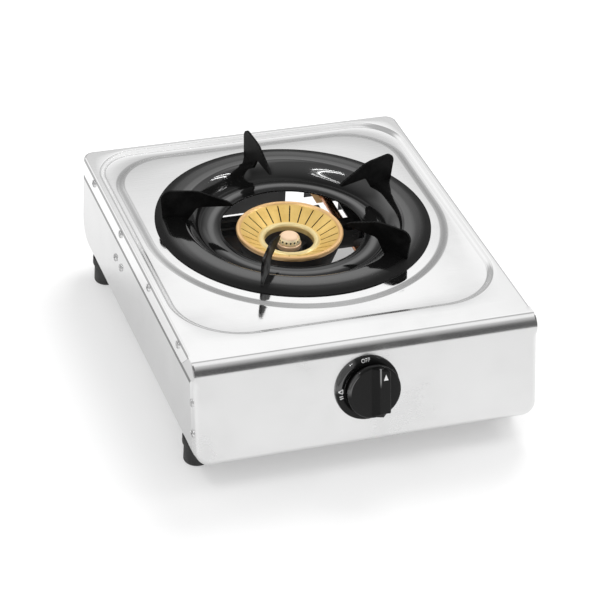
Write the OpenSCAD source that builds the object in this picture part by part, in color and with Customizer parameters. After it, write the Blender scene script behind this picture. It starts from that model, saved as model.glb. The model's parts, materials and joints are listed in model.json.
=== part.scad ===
// Single burner gas stove for a table top. A folded steel body stands on four rubber feet. A
// lift-off enamelled drip pan carries five stamped pot supports round a cast burner with two
// brass caps, which a push-and-turn valve behind the front panel feeds.
// Sizes are in millimetres. The modules draw in the body's own frame: x to the right, y to the
// back, z up from the top sheet's border. place() moves them to the stored frame, whose origin
// is on the floor under the middle of the overall box.

/* [Body] */
// Width over the side flanges of the top sheet
body_w = 300; // [290:1:330]
// Depth from the back edge to the line where the top and front planes would meet
body_d = 350; // [344:1:380]
// Height of the top sheet's border above the floor
top_h = 112; // [108:1:124]
// Height of the front and side panels, from the border down
skirt_h = 87; // [84:0.5:92]
// Thickness of the body sheets
sheet = 0.8; // [0.6:0.1:1]
// Angle by which the front panel leans out at its foot
front_lean = 12.3; // [8:0.1:15]
// Outer radius of the bend between top and front
bend_r = 12; // [10:0.5:15]
// Radius of the fold between the top and its flanges
fold_r = 2; // [1.5:0.1:3]
// Height of the flanges that hang over the side panels
flange_h = 18; // [16:0.5:21]
// Distance from the front plane's top line to the flanges' front ends
flange_front = 17; // [16:0.5:24]
// Length over which a flange's front end is cut away slantwise
flange_slant = 17; // [10:0.5:20]
// Radius of the back corners in plan
back_corner_r = 10; // [8:0.5:14]
// Radius of the front panel's lower corners
front_corner_r = 12; // [9:0.5:16]
// Radius of the front panel's rolled edge
front_roll_r = 4; // [3:0.5:5]
// Depth of the front panel's side and lower returns
front_return = 14; // [12:0.5:18]
// Radius of the side panels' rolled back and lower edges
side_roll_r = 5; // [4:0.5:6]
// Radius of the side panels' lower back corner
side_corner_r = 24; // [18:1:30]
// Depth of the side panels' returns
side_return = 26; // [24:1:30]

/* [Top pressing] */
// Depth of the pressed tray below the border
tray_d = 2.5; // [1.5:0.1:3.5]
// Width of the tray's slope
step_w = 6.5; // [5:0.5:8]
// Border from the body's sides to the middle of the tray's slope
tray_side = 8.3; // [7:0.1:9]
// Border from the back edge to the middle of the tray's slope
tray_back = 8.5; // [6:0.5:9]
// Border from the front plane's top line to the middle of the tray's slope
tray_front = 38.5; // [32:0.5:42]
// Radius of the tray's front corners
tray_front_r = 58; // [45:1:65]
// Radius of the tray's back corners
tray_back_r = 38; // [30:1:45]
// Rise of the pan's seat above the tray
seat_rise = 1.5; // [1:0.1:1.8]
// Margin of the seat's slope round the pan's rim
seat_margin = 10.5; // [8:0.5:12]
// Width of the slope up to the pan's seat
seat_w = 8.5; // [7:0.5:9]
// Distance from the pan's axis to the seat's back slope
seat_back = 132.5; // [131:0.5:135]
// Distance of the seat's round front before the pan's axis
seat_fore = 2.5; // [0:0.5:4]
// Radius of the seat's back corners
seat_back_r = 50; // [40:1:60]

/* [Drip pan] */
// Distance of the pan's axis behind the middle of the body
pan_back = 21; // [18:0.5:23]
// Outer radius of the rim
pan_r = 121.2; // [118:0.2:122]
// Thickness of the pan's sheet
pan_sheet = 1; // [0.8:0.1:1.2]
// Width of the flat lip at the rim
rim_flat = 1.4; // [1:0.1:2]
// Overlap of the pan on the seat
rim_overlap = 8; // [6:0.5:9]
// Height of the crown above the seat
crown_h = 4.2; // [3.6:0.1:4.8]
// Distance from the rim to the crown
crown_in = 19; // [17:0.5:20]
// Width of the crown's level part
crown_flat = 4; // [3.8:0.1:5]
// Distance from the rim to the wall's foot
wall_in = 41; // [40:0.5:43]
// Depth of the wall below the crown
ring_d = 12.3; // [11:0.1:13]
// Rise of the lower ring's middle
ring_rise = 1.2; // [0.8:0.1:1.6]
// Distance from the rim to the central opening
lip_in = 57.2; // [55:0.2:58]
// Radius of the bead on the opening's edge
bead_r = 0.9; // [0.8:0.05:1]

/* [Pot supports] */
// Number of supports
support_n = 5; // [5]
// Direction of the first support, from the right
support_turn = 22; // [15:1:30]
// Height of the supports' top edge above the border
support_top = 28.6; // [26:0.2:32]
// Thickness of the supports' sheet
support_sheet = 2; // [1.6:0.1:2.4]
// Distance from the rim to the supports' inner ends
support_reach = 67.7; // [66:0.1:68]
// Distance from the rim to the supports' outer edge
support_edge = 4.7; // [4:0.1:6]
// Radius of the rounded outer corner
support_corner_r = 8.5; // [6:0.5:9]
// Distance from the rim to where the level top edge starts to slope to the middle
slope_in = 36.2; // [34:0.2:38]
// Height of the inner end's top edge below the level top edge
slope_drop = 12.2; // [11:0.2:14]
// Number of teeth on the sloping edge
tooth_n = 7; // [5:1:8]
// Height of the teeth
tooth_h = 0.9; // [0.6:0.1:1.2]
// Depth of the arm at its inner end
arm_h = 3.5; // [3:0.1:4]
// Distance from the rim to the foot's inner end
foot_in = 29.2; // [28:0.2:30]
// Distance from the rim to the foot's outer end
foot_out = 6.7; // [6.5:0.1:8]
// Length of the tabs that go through the pan
tab_l = 3; // [2.6:0.1:3.2]
// Thickness of the tabs' bent ends
tab_t = 1.5; // [1.2:0.1:1.8]
// Reach of the tabs' bent ends
tab_reach = 6; // [5:0.5:8]

/* [Burner] */
// Sideways offset of the burner's axis
burner_x = -2.5; // [-4:0.5:0]
// Outer radius of the large brass cap
cap_r = 47.5; // [46:0.5:49]
// Depth of the large cap's rim below the border
cap_drop = 9.5; // [9:0.1:10]
// Depth of the large cap's dish, from its rim to its inner ring
dish_d = 9; // [8:0.1:9.4]
// Outer radius of the large cap's inner ring
eye_out = 26; // [25.5:0.1:27]
// Radius of the large cap's central hole
eye_r = 21.7; // [21:0.1:22]
// Number of radial flame slots
slot_n = 24; // [18:1:30]
// Width of the flame slots
slot_w = 1.1; // [0.8:0.1:1.3]
// Radius of the small brass cap at its foot
small_cap_r = 10.8; // [10.4:0.1:11.4]
// Height of the small cap above its seat
small_cap_h = 11.5; // [11:0.1:12.5]
// Depth of the small cap's top below the large cap's rim
small_drop = 6; // [5.4:0.1:6.6]
// Radius of the small cap's flat top
small_top_r = 6.4; // [6:0.1:7]
// Number of side holes in the small cap
small_hole_n = 16; // [12:1:16]
// Radius of the side holes
small_hole_r = 0.9; // [0.7:0.05:1]
// Radius of the centre column's bore
column_r = 8; // [7.5:0.1:8.4]
// Wall of the cast burner
cast_wall = 4; // [3.5:0.1:4.4]
// Depth of the burner's feet below the border
burner_foot = 48; // [46:0.5:50]
// Distance between the axes of the two mixing tubes
tube_pitch = 27; // [26.5:0.5:29]
// Depth of the mixing tubes' axes below the border
tube_drop = 40; // [39:0.5:41]
// Outer radius of the mixing tubes
tube_r = 11; // [10.5:0.1:11.2]
// Bore of the mixing tubes
tube_bore = 8.5; // [8:0.1:8.8]
// Distance of the tubes' mouths behind the front plane's top line
mouth_back = 83; // [80:0.5:86]
// Distance of the fixing bolts to each side of the burner's axis
ear_x = 69; // [66:0.5:72]
// Radius of the fixing bolts
bolt_r = 2.5; // [2:0.1:2.6]

/* [Cross bar] */
// Distance of the bar's front edge behind the burner's axis
bar_front = 27; // [26:0.5:28]
// Width of the bar's web
bar_w = 64; // [60:1:66]
// Depth of the bar's turned-down edges
bar_edge = 8; // [6:0.5:9]
// Thickness of the bar's sheet
bar_sheet = 1.2; // [1:0.1:1.4]
// Height of the end tabs above the web
bar_tab = 14; // [12:0.5:16]
// Width of the end tabs
bar_tab_w = 26; // [24:0.5:28]
// Height of the web's ribs
rib_h = 1.5; // [1:0.1:2]

/* [Back panel] */
// Distance from the middle to the opening beside the gas inlet
back_cut_x = 47.5; // [42:0.5:52]
// Height of that opening
back_cut_h = 24; // [20:0.5:26]

/* [Gas line] */
// Distance of the pipe's long run to the right of the middle
pipe_x = 78.5; // [76:0.5:82]
// Depth of the pipe's axis below the border
pipe_drop = 66; // [64:0.5:67]
// Outer radius of the pipe
pipe_r = 4; // [3.5:0.1:4.2]
// Wall of the pipe
pipe_wall = 1; // [0.8:0.1:1.2]
// Radius of the pipe's bend, at its axis
pipe_bend_r = 14; // [12:0.5:18]
// Radius of the hose spigot
spigot_r = 4.75; // [4.5:0.05:5]
// Length of the hose spigot
spigot_len = 27; // [24:0.5:30]
// Plain length of the spigot beside the nut
spigot_plain = 12; // [10:0.5:14]
// Radius of the inlet's neck in the back panel
neck_r = 7.4; // [7:0.1:8]

/* [Valve] */
// Distance of the valve's axis down the front plane from its top line
knob_down = 39.7; // [38:0.1:41]
// Radius of the valve's barrel
barrel_r = 14; // [13:0.5:15]
// Distance of the barrel's front face behind the panel
barrel_front = 25.2; // [24:0.1:27]
// Length of the barrel
barrel_len = 32; // [30:0.5:33]
// Thickness of the barrel's cover
cover_t = 4; // [3.5:0.1:5]
// Radius of the plug's front end
plug_r = 8; // [7.5:0.1:8.5]
// Radius of the plug's back end
plug_tip_r = 5.6; // [5:0.1:6]
// Length of the plug
plug_len = 25; // [24:0.5:26]
// Radius of the stem
stem_r = 3; // [2.8:0.05:3.2]
// Distance from the stem's axis to its flat
stem_flat = 2.3; // [2:0.05:2.5]
// Depth of the stem's end behind the panel
stem_in = 36; // [35:0.5:37]
// Radius of the stem's collar
collar_r = 6.2; // [6:0.1:6.6]
// Travel of the knob when it is pushed
push = 3.5; // [3:0.1:4]
// Number of turns of the return spring
spring_turns = 5; // [4:0.5:6]
// Radius of the spring's wire
wire_r = 0.45; // [0.4:0.05:0.5]
// Mean radius of the spring
coil_r = 4.7; // [4.5:0.1:5]
// Width of the valve's block across the stove
block_w = 54; // [52:0.5:56]
// Thickness of the bracket that carries the valve
bracket_t = 1.2; // [1:0.1:1.4]
// Distance of the bracket's legs to each side of the valve's axis
bracket_x = 32; // [30:0.5:36]
// Distance of the cover's screws to each side of the axis
cover_screw_x = 20; // [19.5:0.1:21]

/* [Knob] */
// Outer radius of the bezel
bezel_r = 28; // [27:0.5:30]
// Sideways offset of the bezel from the valve's axis
bezel_x = -2.5; // [-3:0.1:-2]
// Height of the bezel's crest
bezel_h = 4.2; // [3.8:0.1:4.4]
// Width of the bezel's raised ring
bezel_w = 8.5; // [7:0.5:9]
// Radius of the knob's base
knob_r = 23.2; // [22:0.2:24]
// Distance of the knob's underside from the panel
knob_gap = 8.2; // [8.2:0.1:9]
// Height of the knob's base
knob_base_h = 5; // [4.5:0.25:6]
// Height of the grip above the base
grip_h = 7; // [6:0.5:9]
// Distance of the grip's crest beside the valve's axis
grip_x = 7; // [6:0.25:8]
// Width of the grip's crest
grip_w = 8; // [7:0.25:9]
// Distance of the crest's lower end from the valve's axis
grip_low = 17.5; // [16:0.25:18]
// Width of the pointer's foot
pointer_w = 4; // [3:0.25:5]
// Height by which the pointer stands out of the grip
pointer_h = 0.3; // [0.2:0.05:0.4]

/* [Feet] */
// Distance of the feet's axes from the body's sides
foot_side = 13.3; // [13:0.1:15]
// Distance of the front feet's axes behind the front plane's top line
foot_front = 25.5; // [24:0.5:32]
// Distance of the back feet's axes from the back edge
foot_back = 42; // [38:0.5:50]
// Radius of the feet's shoulders
foot_shoulder_r = 12.5; // [12:0.1:13]
// Radius of the feet below the shoulder
foot_r = 11; // [10:0.1:11.4]
// Height of the shoulder
foot_shoulder_h = 8; // [7:0.5:9]

/* [Fasteners] */
// Radius of the body screws' heads
screw_head_r = 3.5; // [3:0.1:3.8]
// Height of the body screws' heads
screw_head_h = 1.7; // [1.4:0.1:2]
// Radius of the body screws' shanks
screw_r = 1.4; // [1.2:0.1:1.6]
// Length of the body screws under the head
screw_len = 7; // [6:0.5:8]
// Distance of the flange screws below the border
flange_screw_drop = 6.5; // [6:0.5:8]
// Distance between the flange screws
flange_screw_pitch = 87; // [84:0.5:90]
// Distance between the two screws of a bar's end
bar_screw_pitch = 17; // [15:0.5:20]

/* [Fits] */
// Radial clearance of running fits
run_fit = 0.06; // [0.03:0.01:0.09]
// Radial clearance of fasteners in their holes
hole_fit = 0.1; // [0.05:0.01:0.2]

/* [Hidden] */
$fn = 96;

// Lines of the body
half_w = body_w/2;
back_y = body_d/2;
front_y = -body_d/2;
slope_len = skirt_h/cos(front_lean);
bend_run = bend_r*tan((90 - front_lean)/2);
bend_y = front_y + bend_run;
flange_y = front_y + flange_front;
side_x = half_w - sheet;
side_back = back_y - sheet;
axis_y = pan_back;
seat_z = seat_rise - tray_d;
platform_r = min(pan_r + seat_margin, half_w - tray_side - step_w/2 - seat_w/2 - 1);
seat_front = axis_y - seat_fore - platform_r;
step_pieces = 10;
// Width of the strip inside the sheet that joins the bend to the top
seam_w = 0.8;

// Radii and heights of the pan
rim_in = pan_r - rim_flat;
crown_r = pan_r - crown_in;
wall_top_r = crown_r - crown_flat;
ring_out = pan_r - wall_in;
lip_r = pan_r - lip_in;
ring_lip = lip_r + bead_r;
ring_mid = (ring_out + ring_lip)/2;
crown_z = seat_z + crown_h;
ring_z = crown_z - ring_d;

// Heights in the burner
cap_z = -cap_drop;
eye_z = cap_z - dish_d;
cap_seat = cap_z - 4.6;
eye_seat = eye_z - 6.5;
small_top = cap_z - small_drop;
column_z = small_top - small_cap_h;
chamber_floor = cap_z - 28.7;
bowl_floor = chamber_floor - cast_wall;
foot_z = -burner_foot;
tube_z = -tube_drop;
mouth_y = front_y + mouth_back;
tube_len = axis_y - mouth_y;
tube_xs = [burner_x + tube_pitch/2, burner_x - tube_pitch/2];
bar_y = axis_y + bar_front;
bolt_y = bar_y + 8;
bar_screw_y = bar_y + 3.7;

// Valve, along its axis outward from the panel's face
cover_face = -barrel_front + cover_t;
plug_front = -barrel_front - 1.8;
block_d = 20;
block_back = mouth_y - 20;
block_top = tube_z + 10;
block_low = -pipe_drop - 6;
collar_back = cover_face + 11.2;
collar_t = 2;
base_top = knob_gap + knob_base_h;
tip = base_top + grip_h;

// Middle of the overall box, from the grip's lower end to the spigot's end
locknut_t = 5.5;
locknut_flat = 2*neck_r + 5.2;
panel_out = side_back - sheet;
spigot_end = panel_out + locknut_t + spigot_len;
knob_y = front_y - knob_down*sin(front_lean);
knob_reach = knob_y - tip*cos(front_lean) - grip_low*sin(front_lean);
origin_y = -(spigot_end + knob_reach)/2;

// Moves a piece from the body's frame to the stored frame
module place() {
    translate([0, origin_y, top_h]) children();
}

// Puts a piece on the front plane, some way down from its top line, with z outward
module on_front(down = 0) {
    translate([0, front_y - down*sin(front_lean), -down*cos(front_lean)])
        rotate([90 - front_lean, 0, 0]) children();
}

// Extrudes a (y, z) outline across the body
module across(width) {
    rotate([90, 0, 90]) linear_extrude(width, center = true) children();
}

// Turns a (radius, z) outline round a vertical axis
module turned(x = 0, y = 0) {
    translate([x, y, 0]) rotate_extrude() children();
}

// Six-sided prism, for nuts and hexagon heads
module hexagon(flat, height) {
    cylinder(r = flat/2/cos(30), h = height, $fn = 6);
}

// Plan with its own corner radii at the front and at the back
module rounded_plan(hw, y0, y1, rf, rb) {
    translate([-hw, y0 + rf]) square([2*hw, y1 - rb - y0 - rf]);
    translate([-(hw - rb), y0 + rf]) square([2*(hw - rb), y1 - y0 - rf]);
    if (hw > rf) translate([-(hw - rf), y0]) square([2*(hw - rf), rf]);
    for (s = [-1, 1]) {
        translate([s*(hw - rf), y0 + rf]) circle(rf);
        translate([s*(hw - rb), y1 - rb]) circle(rb);
    }
}

// Sweeps an (outward, up) section along the left, back and right of a plan
module u_sweep(hw, y0, y1, r) {
    for (s = [0, 1]) mirror([s, 0, 0]) {
        translate([hw, y1 - r, 0]) rotate([90, 0, 0]) linear_extrude(y1 - r - y0) children();
        translate([hw - r, y1 - r, 0]) rotate_extrude(angle = 90) translate([r, 0]) children();
    }
    translate([-(hw - r), y1, 0]) rotate([90, 0, 90]) linear_extrude(2*(hw - r)) children();
}

// Sweeps the same section along the front as well
module ring_sweep(hw, y0, y1, rf, rb) {
    u_sweep(hw, y0 + rf, y1, rb) children();
    for (s = [0, 1]) mirror([s, 0, 0])
        translate([hw - rf, y0 + rf, 0]) rotate([0, 0, -90])
            rotate_extrude(angle = 90) translate([rf, 0]) children();
    if (hw > rf) translate([hw - rf, y0, 0])
        rotate([90, 0, -90]) linear_extrude(2*(hw - rf)) children();
}

// Section of a sheet's rolled edge: a quarter bend and a return, depth counted inward
module rolled_section(r, depth) {
    intersection() {
        translate([0, r]) difference() {
            circle(r);
            circle(r - sheet);
        }
        square(r);
    }
    translate([r - sheet, r]) square([sheet, depth - r]);
}

// Section of a pressed step that goes from z on the outside to z - drop on the inside
module step_section(z, drop, width) {
    function curve(i) = z - drop*(1 - cos(180*i/step_pieces))/2;
    function out(i) = width/2 - width*i/step_pieces;
    polygon(concat(
        [for (i = [0 : step_pieces]) [out(i), curve(i)]],
        [for (i = [step_pieces : -1 : 0]) [out(i), curve(i) - sheet]]));
}

// Plans of the pressed tray and of the pan's seat, grown or shrunk by a margin
module tray_plan(m) {
    rounded_plan(half_w - tray_side + m, front_y + tray_front - m, back_y - tray_back + m,
        tray_front_r + m, tray_back_r + m);
}

module seat_plan(m) {
    rounded_plan(platform_r + m, seat_front - m, axis_y + seat_back + m,
        platform_r + m, seat_back_r + m);
}

module top_plan(inset) {
    hw = half_w - inset;
    r = back_corner_r - inset;
    translate([-hw, flange_y]) square([2*hw, back_y - back_corner_r - flange_y]);
    translate([-(hw - r), flange_y]) square([2*(hw - r), back_y - inset - flange_y]);
    for (s = [-1, 1]) translate([s*(hw - r), back_y - back_corner_r]) circle(r);
}

// Places of the body screws: on the flanges, on the front returns, at the bar's ends
flange_screw_ys = [for (i = [-1.5 : 1 : 1.5]) i*flange_screw_pitch];
front_screw_downs = [34, 61.5];
front_screw_in = 9;
bar_screw_z = foot_z + bar_tab/2;

module at_flange_screws() {
    for (s = [0, 1]) mirror([s, 0, 0]) for (y = flange_screw_ys)
        translate([half_w, y, -flange_screw_drop]) rotate([0, 90, 0]) children();
}

module at_front_screws() {
    for (s = [0, 1]) mirror([s, 0, 0]) for (d = front_screw_downs)
        on_front(d) translate([half_w, 0, -front_screw_in]) rotate([0, 90, 0]) children();
}

module at_bar_screws() {
    for (s = [0, 1]) mirror([s, 0, 0]) for (k = [-1, 1])
        translate([side_x, bar_screw_y + k*bar_screw_pitch/2, bar_screw_z])
            rotate([0, 90, 0]) children();
}

// Screws through the side panels' back returns
back_screw_x = side_x - side_roll_r - 5;
back_screw_zs = [-0.4*skirt_h, -0.65*skirt_h];

module at_back_screws() {
    for (s = [0, 1]) mirror([s, 0, 0]) for (z = back_screw_zs)
        translate([back_screw_x, side_back, z]) rotate([-90, 0, 0]) children();
}

// Pan-head screw with a cross recess, its seat at z = 0 and its head outward
module body_screw() {
    difference() {
        cylinder(r = screw_head_r, h = screw_head_h, $fn = 24);
        for (a = [0, 90]) rotate([0, 0, a])
            translate([-0.7*screw_head_r, -0.13*screw_head_r, 0.4*screw_head_h])
                cube([1.4*screw_head_r, 0.26*screw_head_r, screw_head_h]);
    }
    translate([0, 0, -screw_len]) cylinder(r = screw_r, h = screw_len, $fn = 24);
}

module screw_hole() {
    translate([0, 0, -screw_len]) cylinder(r = screw_r + hole_fit, h = 2*screw_len, $fn = 24);
}

// One sheet: pressed top, bend, leaning front panel and turned-down flanges
module top_panel() {
    color("gainsboro") difference() {
        union() {
            mirror([0, 0, 1]) {
                linear_extrude(sheet) difference() {
                    top_plan(fold_r);
                    tray_plan(step_w/2);
                }
                u_sweep(half_w - fold_r, flange_y, back_y - fold_r, back_corner_r - fold_r)
                    rolled_section(fold_r, flange_h);
            }
            translate([-half_w, bend_y, -sheet]) cube([body_w, flange_y - bend_y, sheet]);
            ring_sweep(half_w - tray_side, front_y + tray_front, back_y - tray_back,
                tray_front_r, tray_back_r) step_section(0, tray_d, step_w);
            translate([0, 0, -tray_d - sheet]) linear_extrude(sheet) difference() {
                tray_plan(-step_w/2);
                seat_plan(seat_w/2);
            }
            ring_sweep(platform_r, seat_front, axis_y + seat_back, platform_r, seat_back_r)
                step_section(-tray_d, -seat_rise, seat_w);
            translate([0, 0, seat_z - sheet]) linear_extrude(sheet) difference() {
                seat_plan(-seat_w/2);
                translate([0, axis_y]) circle(pan_r - rim_overlap);
            }
            on_front() mirror([0, 0, 1]) front_panel();
            translate([-half_w + sheet, bend_y - seam_w/2, -0.75*sheet])
                cube([body_w - 2*sheet, seam_w, sheet/2]);
        }
        across(2*body_w) polygon([
            [flange_y - 1, -flange_h - 1],
            [flange_y + flange_slant, -flange_h - 1],
            [flange_y + flange_slant, -flange_h],
            [flange_y, -fold_r],
            [flange_y - 1, -fold_r]]);
        translate([-body_w, -body_d, -skirt_h - front_roll_r*sin(front_lean) - body_w])
            cube([2*body_w, 2*body_d, body_w]);
        at_flange_screws() screw_hole();
        at_front_screws() screw_hole();
    }
}

// The leaning panel and its bend in the panel's plane, its face at z = 0, its depth along +z
module front_panel() {
    roll_top = -bend_run - 8;
    hw = half_w - front_roll_r;
    r = front_corner_r - front_roll_r;
    low = -slope_len + front_roll_r;
    linear_extrude(sheet) difference() {
        union() {
            translate([-half_w, roll_top]) square([body_w, -bend_run - roll_top]);
            translate([-hw, low + r]) square([2*hw, roll_top - low - r]);
            translate([-(hw - r), low]) square([2*(hw - r), r]);
            for (s = [-1, 1]) translate([s*(hw - r), low + r]) circle(r);
        }
        translate([0, -knob_down]) circle(collar_r + 1.3);
        for (s = [-1, 1]) translate([bezel_x + s*bezel_leg_x, -knob_down])
            circle(bezel_leg_r + hole_fit);
    }
    mirror([0, 1, 0]) u_sweep(hw, -roll_top, -low, r)
        rolled_section(front_roll_r, front_return);
    translate([0, -bend_run, bend_r]) rotate([0, 90, 0]) rotate_extrude(angle = 90 - front_lean)
        translate([bend_r - sheet, -half_w]) square([sheet, body_w]);
}

// Side panel with its rolled back and lower edges, drawn on the left
module side_panel() {
    color("silver") difference() {
        translate([-side_x, 0, 0]) rotate([90, 0, 90]) {
            linear_extrude(sheet) side_plan();
            translate([side_back - side_roll_r, -fold_r, 0]) rotate([90, 0, 0])
                linear_extrude(skirt_h - side_corner_r - fold_r) side_section();
            translate([side_back - side_corner_r, -skirt_h + side_corner_r, 0])
                rotate([0, 0, -90]) rotate_extrude(angle = 90)
                    translate([side_corner_r - side_roll_r, 0]) side_section();
            translate([side_back - side_corner_r, -skirt_h + side_roll_r, 0])
                rotate([90, 0, -90]) linear_extrude(side_back - side_corner_r - side_low_y)
                    side_section();
        }
        translate([0, 0, -flange_h - hole_fit]) linear_extrude(flange_h) difference() {
            translate([-body_w, axis_y]) square([2*body_w, body_d]);
            top_plan(sheet);
        }
        at_flange_screws() screw_hole();
        at_front_screws() screw_hole();
        at_bar_screws() screw_hole();
        at_back_screws() screw_hole();
        at_feet() cylinder(r = foot_screw_r + hole_fit, h = 2*side_return);
    }
}

module side_section() {
    rolled_section(side_roll_r, side_return);
}

// Line behind the front panel's return, and the front end of the lower rolled edge on it
function behind_return(z) = front_y + z*tan(front_lean) + (front_return + 0.3)/cos(front_lean);
side_low_y = behind_return(-skirt_h + side_roll_r);

// Flat of the side panel in (y, z): behind the bend's open end and the front panel's roll
module side_plan() {
    far = 2*body_d;
    bend_gap = 2.5;
    inner = bend_r - sheet;
    gap = front_roll_r + 1;
    corner_z = -skirt_h + front_corner_r + 1;
    intersection() {
        union() {
            translate([-far, -skirt_h + side_roll_r])
                square([far + side_back - side_corner_r, skirt_h]);
            translate([-far, -skirt_h + side_corner_r])
                square([far + side_back - side_roll_r, skirt_h]);
            translate([side_back - side_corner_r, -skirt_h + side_corner_r])
                circle(side_corner_r - side_roll_r);
        }
        union() {
            polygon([
                [far, -fold_r], [flange_y - hole_fit, -fold_r], [flange_y - hole_fit, -sheet],
                [bend_y + bend_gap, -sheet], [bend_y - inner + bend_gap, -bend_r],
                [front_y + corner_z*tan(front_lean) + gap, corner_z], [far, corner_z]]);
            polygon([
                [far, -fold_r], [behind_return(-fold_r), -fold_r],
                [behind_return(-skirt_h), -skirt_h], [far, -skirt_h]]);
        }
    }
}

// Plate that closes the back, open beside and below the gas inlet
module back_panel() {
    hw = side_x - side_roll_r - 1;
    skirt_hw = side_x - side_return - 1;
    top = -flange_h/2;
    low = -skirt_h + 1;
    corner = -skirt_h + side_corner_r + 0.5;
    nut_side = locknut_flat/2/cos(30) + 1;
    nut_low = -pipe_drop - locknut_flat/2 - 1.5;
    color("slategray") difference() {
        translate([0, panel_out, 0]) rotate([90, 0, 0]) linear_extrude(sheet) polygon([
            [-hw, top], [hw, top], [hw, corner], [skirt_hw, corner], [skirt_hw, low],
            [pipe_x + nut_side, low], [pipe_x + nut_side, nut_low], [pipe_x - nut_side, nut_low],
            [pipe_x - nut_side, low + back_cut_h], [back_cut_x, low + back_cut_h],
            [back_cut_x, low], [-skirt_hw, low], [-skirt_hw, corner], [-hw, corner]]);
        at_back_screws() screw_hole();
        translate([pipe_x, panel_out + 1, -pipe_drop]) rotate([90, 0, 0])
            cylinder(r = neck_r + hole_fit, h = 4);
    }
}

// Bar across the body that carries the burner, notched at the back over the pipe
bar_rib_ys = [bar_y + 32, bar_y + 44, bar_y + bar_w - 8];

module cross_bar() {
    reach = side_x - sheet;
    notch_x = pipe_x - 20.5;
    notch_w = 19;
    notch_y = bar_y + 37;
    color("darkgray") difference() {
        union() {
            translate([-reach, bar_y, foot_z - bar_sheet])
                cube([2*reach, bar_w, bar_sheet]);
            for (y = [bar_y, bar_y + bar_w - bar_sheet])
                translate([-reach, y, foot_z - bar_edge]) cube([2*reach, bar_sheet, bar_edge]);
            for (s = [0, 1]) mirror([s, 0, 0])
                translate([reach - bar_sheet, bar_screw_y - bar_tab_w/2, foot_z - bar_sheet])
                    cube([bar_sheet, bar_tab_w, bar_tab + bar_sheet]);
            for (y = bar_rib_ys) translate([-reach + 12, 0, 0]) rotate([90, 0, 90])
                linear_extrude(reach - 12 + notch_x - 4) polygon([
                    [y - 2, foot_z - bar_sheet/2], [y + 2, foot_z - bar_sheet/2],
                    [y + 2, foot_z], [y + 0.8, foot_z + rib_h],
                    [y - 0.8, foot_z + rib_h], [y - 2, foot_z]]);
        }
        translate([notch_x, notch_y, foot_z - 2*bar_edge]) cube([notch_w, bar_w, 4*bar_edge]);
        at_bar_screws() screw_hole();
        at_bolts() cylinder(r = bolt_r + hole_fit, h = 4*bar_edge, center = true);
    }
}

// Rubber foot with a round shoulder, its screw's recess open below
foot_screw_r = 2;
foot_recess_r = 5;
foot_recess_h = 7;
foot_h = top_h - skirt_h;
foot_places = [
    [-1, front_y + foot_front], [1, front_y + foot_front],
    [-1, back_y - foot_back], [1, back_y - foot_back]];

module at_foot(i) {
    translate([foot_places[i][0]*(half_w - foot_side), foot_places[i][1], -top_h]) children();
}

module at_feet() {
    for (i = [0 : len(foot_places) - 1]) at_foot(i) children();
}

module foot(i) {
    round_r = 2;
    shoulder_round = 3;
    color("dimgray") at_foot(i) rotate_extrude() difference() {
        union() {
            square([foot_r - round_r, foot_h]);
            translate([0, round_r]) square([foot_r, foot_h - round_r]);
            translate([foot_r - round_r, round_r]) circle(round_r);
            translate([0, foot_h - foot_shoulder_h + shoulder_round])
                square([foot_shoulder_r, foot_shoulder_h - shoulder_round]);
            translate([0, foot_h - foot_shoulder_h])
                square([foot_shoulder_r - shoulder_round, shoulder_round]);
            translate([foot_shoulder_r - shoulder_round, foot_h - foot_shoulder_h + shoulder_round])
                circle(shoulder_round);
        }
        translate([-foot_r, -1]) square([foot_r, 2*foot_h]);
        translate([-1, -1]) square([foot_recess_r + 1, foot_recess_h + 1]);
        translate([-1, 0]) square([foot_screw_r + hole_fit + 1, 2*foot_h]);
    }
}

module foot_screws() {
    head_h = 1.2*foot_screw_r;
    color("silver") at_feet() {
        translate([0, 0, foot_recess_h - head_h]) cylinder(r = 1.8*foot_screw_r, h = head_h);
        translate([0, 0, foot_recess_h]) cylinder(r = foot_screw_r, h = foot_h - foot_recess_h + 6);
        translate([0, 0, foot_h + sheet]) hexagon(3.5*foot_screw_r, 1.6*foot_screw_r);
    }
}

module flange_screws() {
    color("lightgray") at_flange_screws() body_screw();
}

module front_screws() {
    color("lightgray") at_front_screws() body_screw();
}

module bar_screws() {
    color("lightgray") at_bar_screws() body_screw();
}

module back_screws() {
    color("lightgray") at_back_screws() body_screw();
}

// Height of the drip pan's upper face at a radius: lip, crown, wall and lower ring
function pan_top(r) =
    r > rim_in ? seat_z + pan_sheet :
    r > crown_r ? crown_z - (crown_h - pan_sheet)*pow((r - crown_r)/(rim_in - crown_r), 2) :
    r > wall_top_r ? crown_z :
    r > ring_out ? crown_z - ring_d*(1 + cos(180*(r - ring_out)/(wall_top_r - ring_out)))/2 :
    ring_z + ring_rise*(1 - pow((r - ring_mid)/(ring_out - ring_mid), 2));

function past(from, to, n) = [for (i = [1 : n]) from + (to - from)*i/n];
pan_radii = concat([ring_lip], past(ring_lip, ring_out, 8), past(ring_out, wall_top_r, 12),
    [crown_r], past(crown_r, rim_in, 10), [pan_r]);

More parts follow.
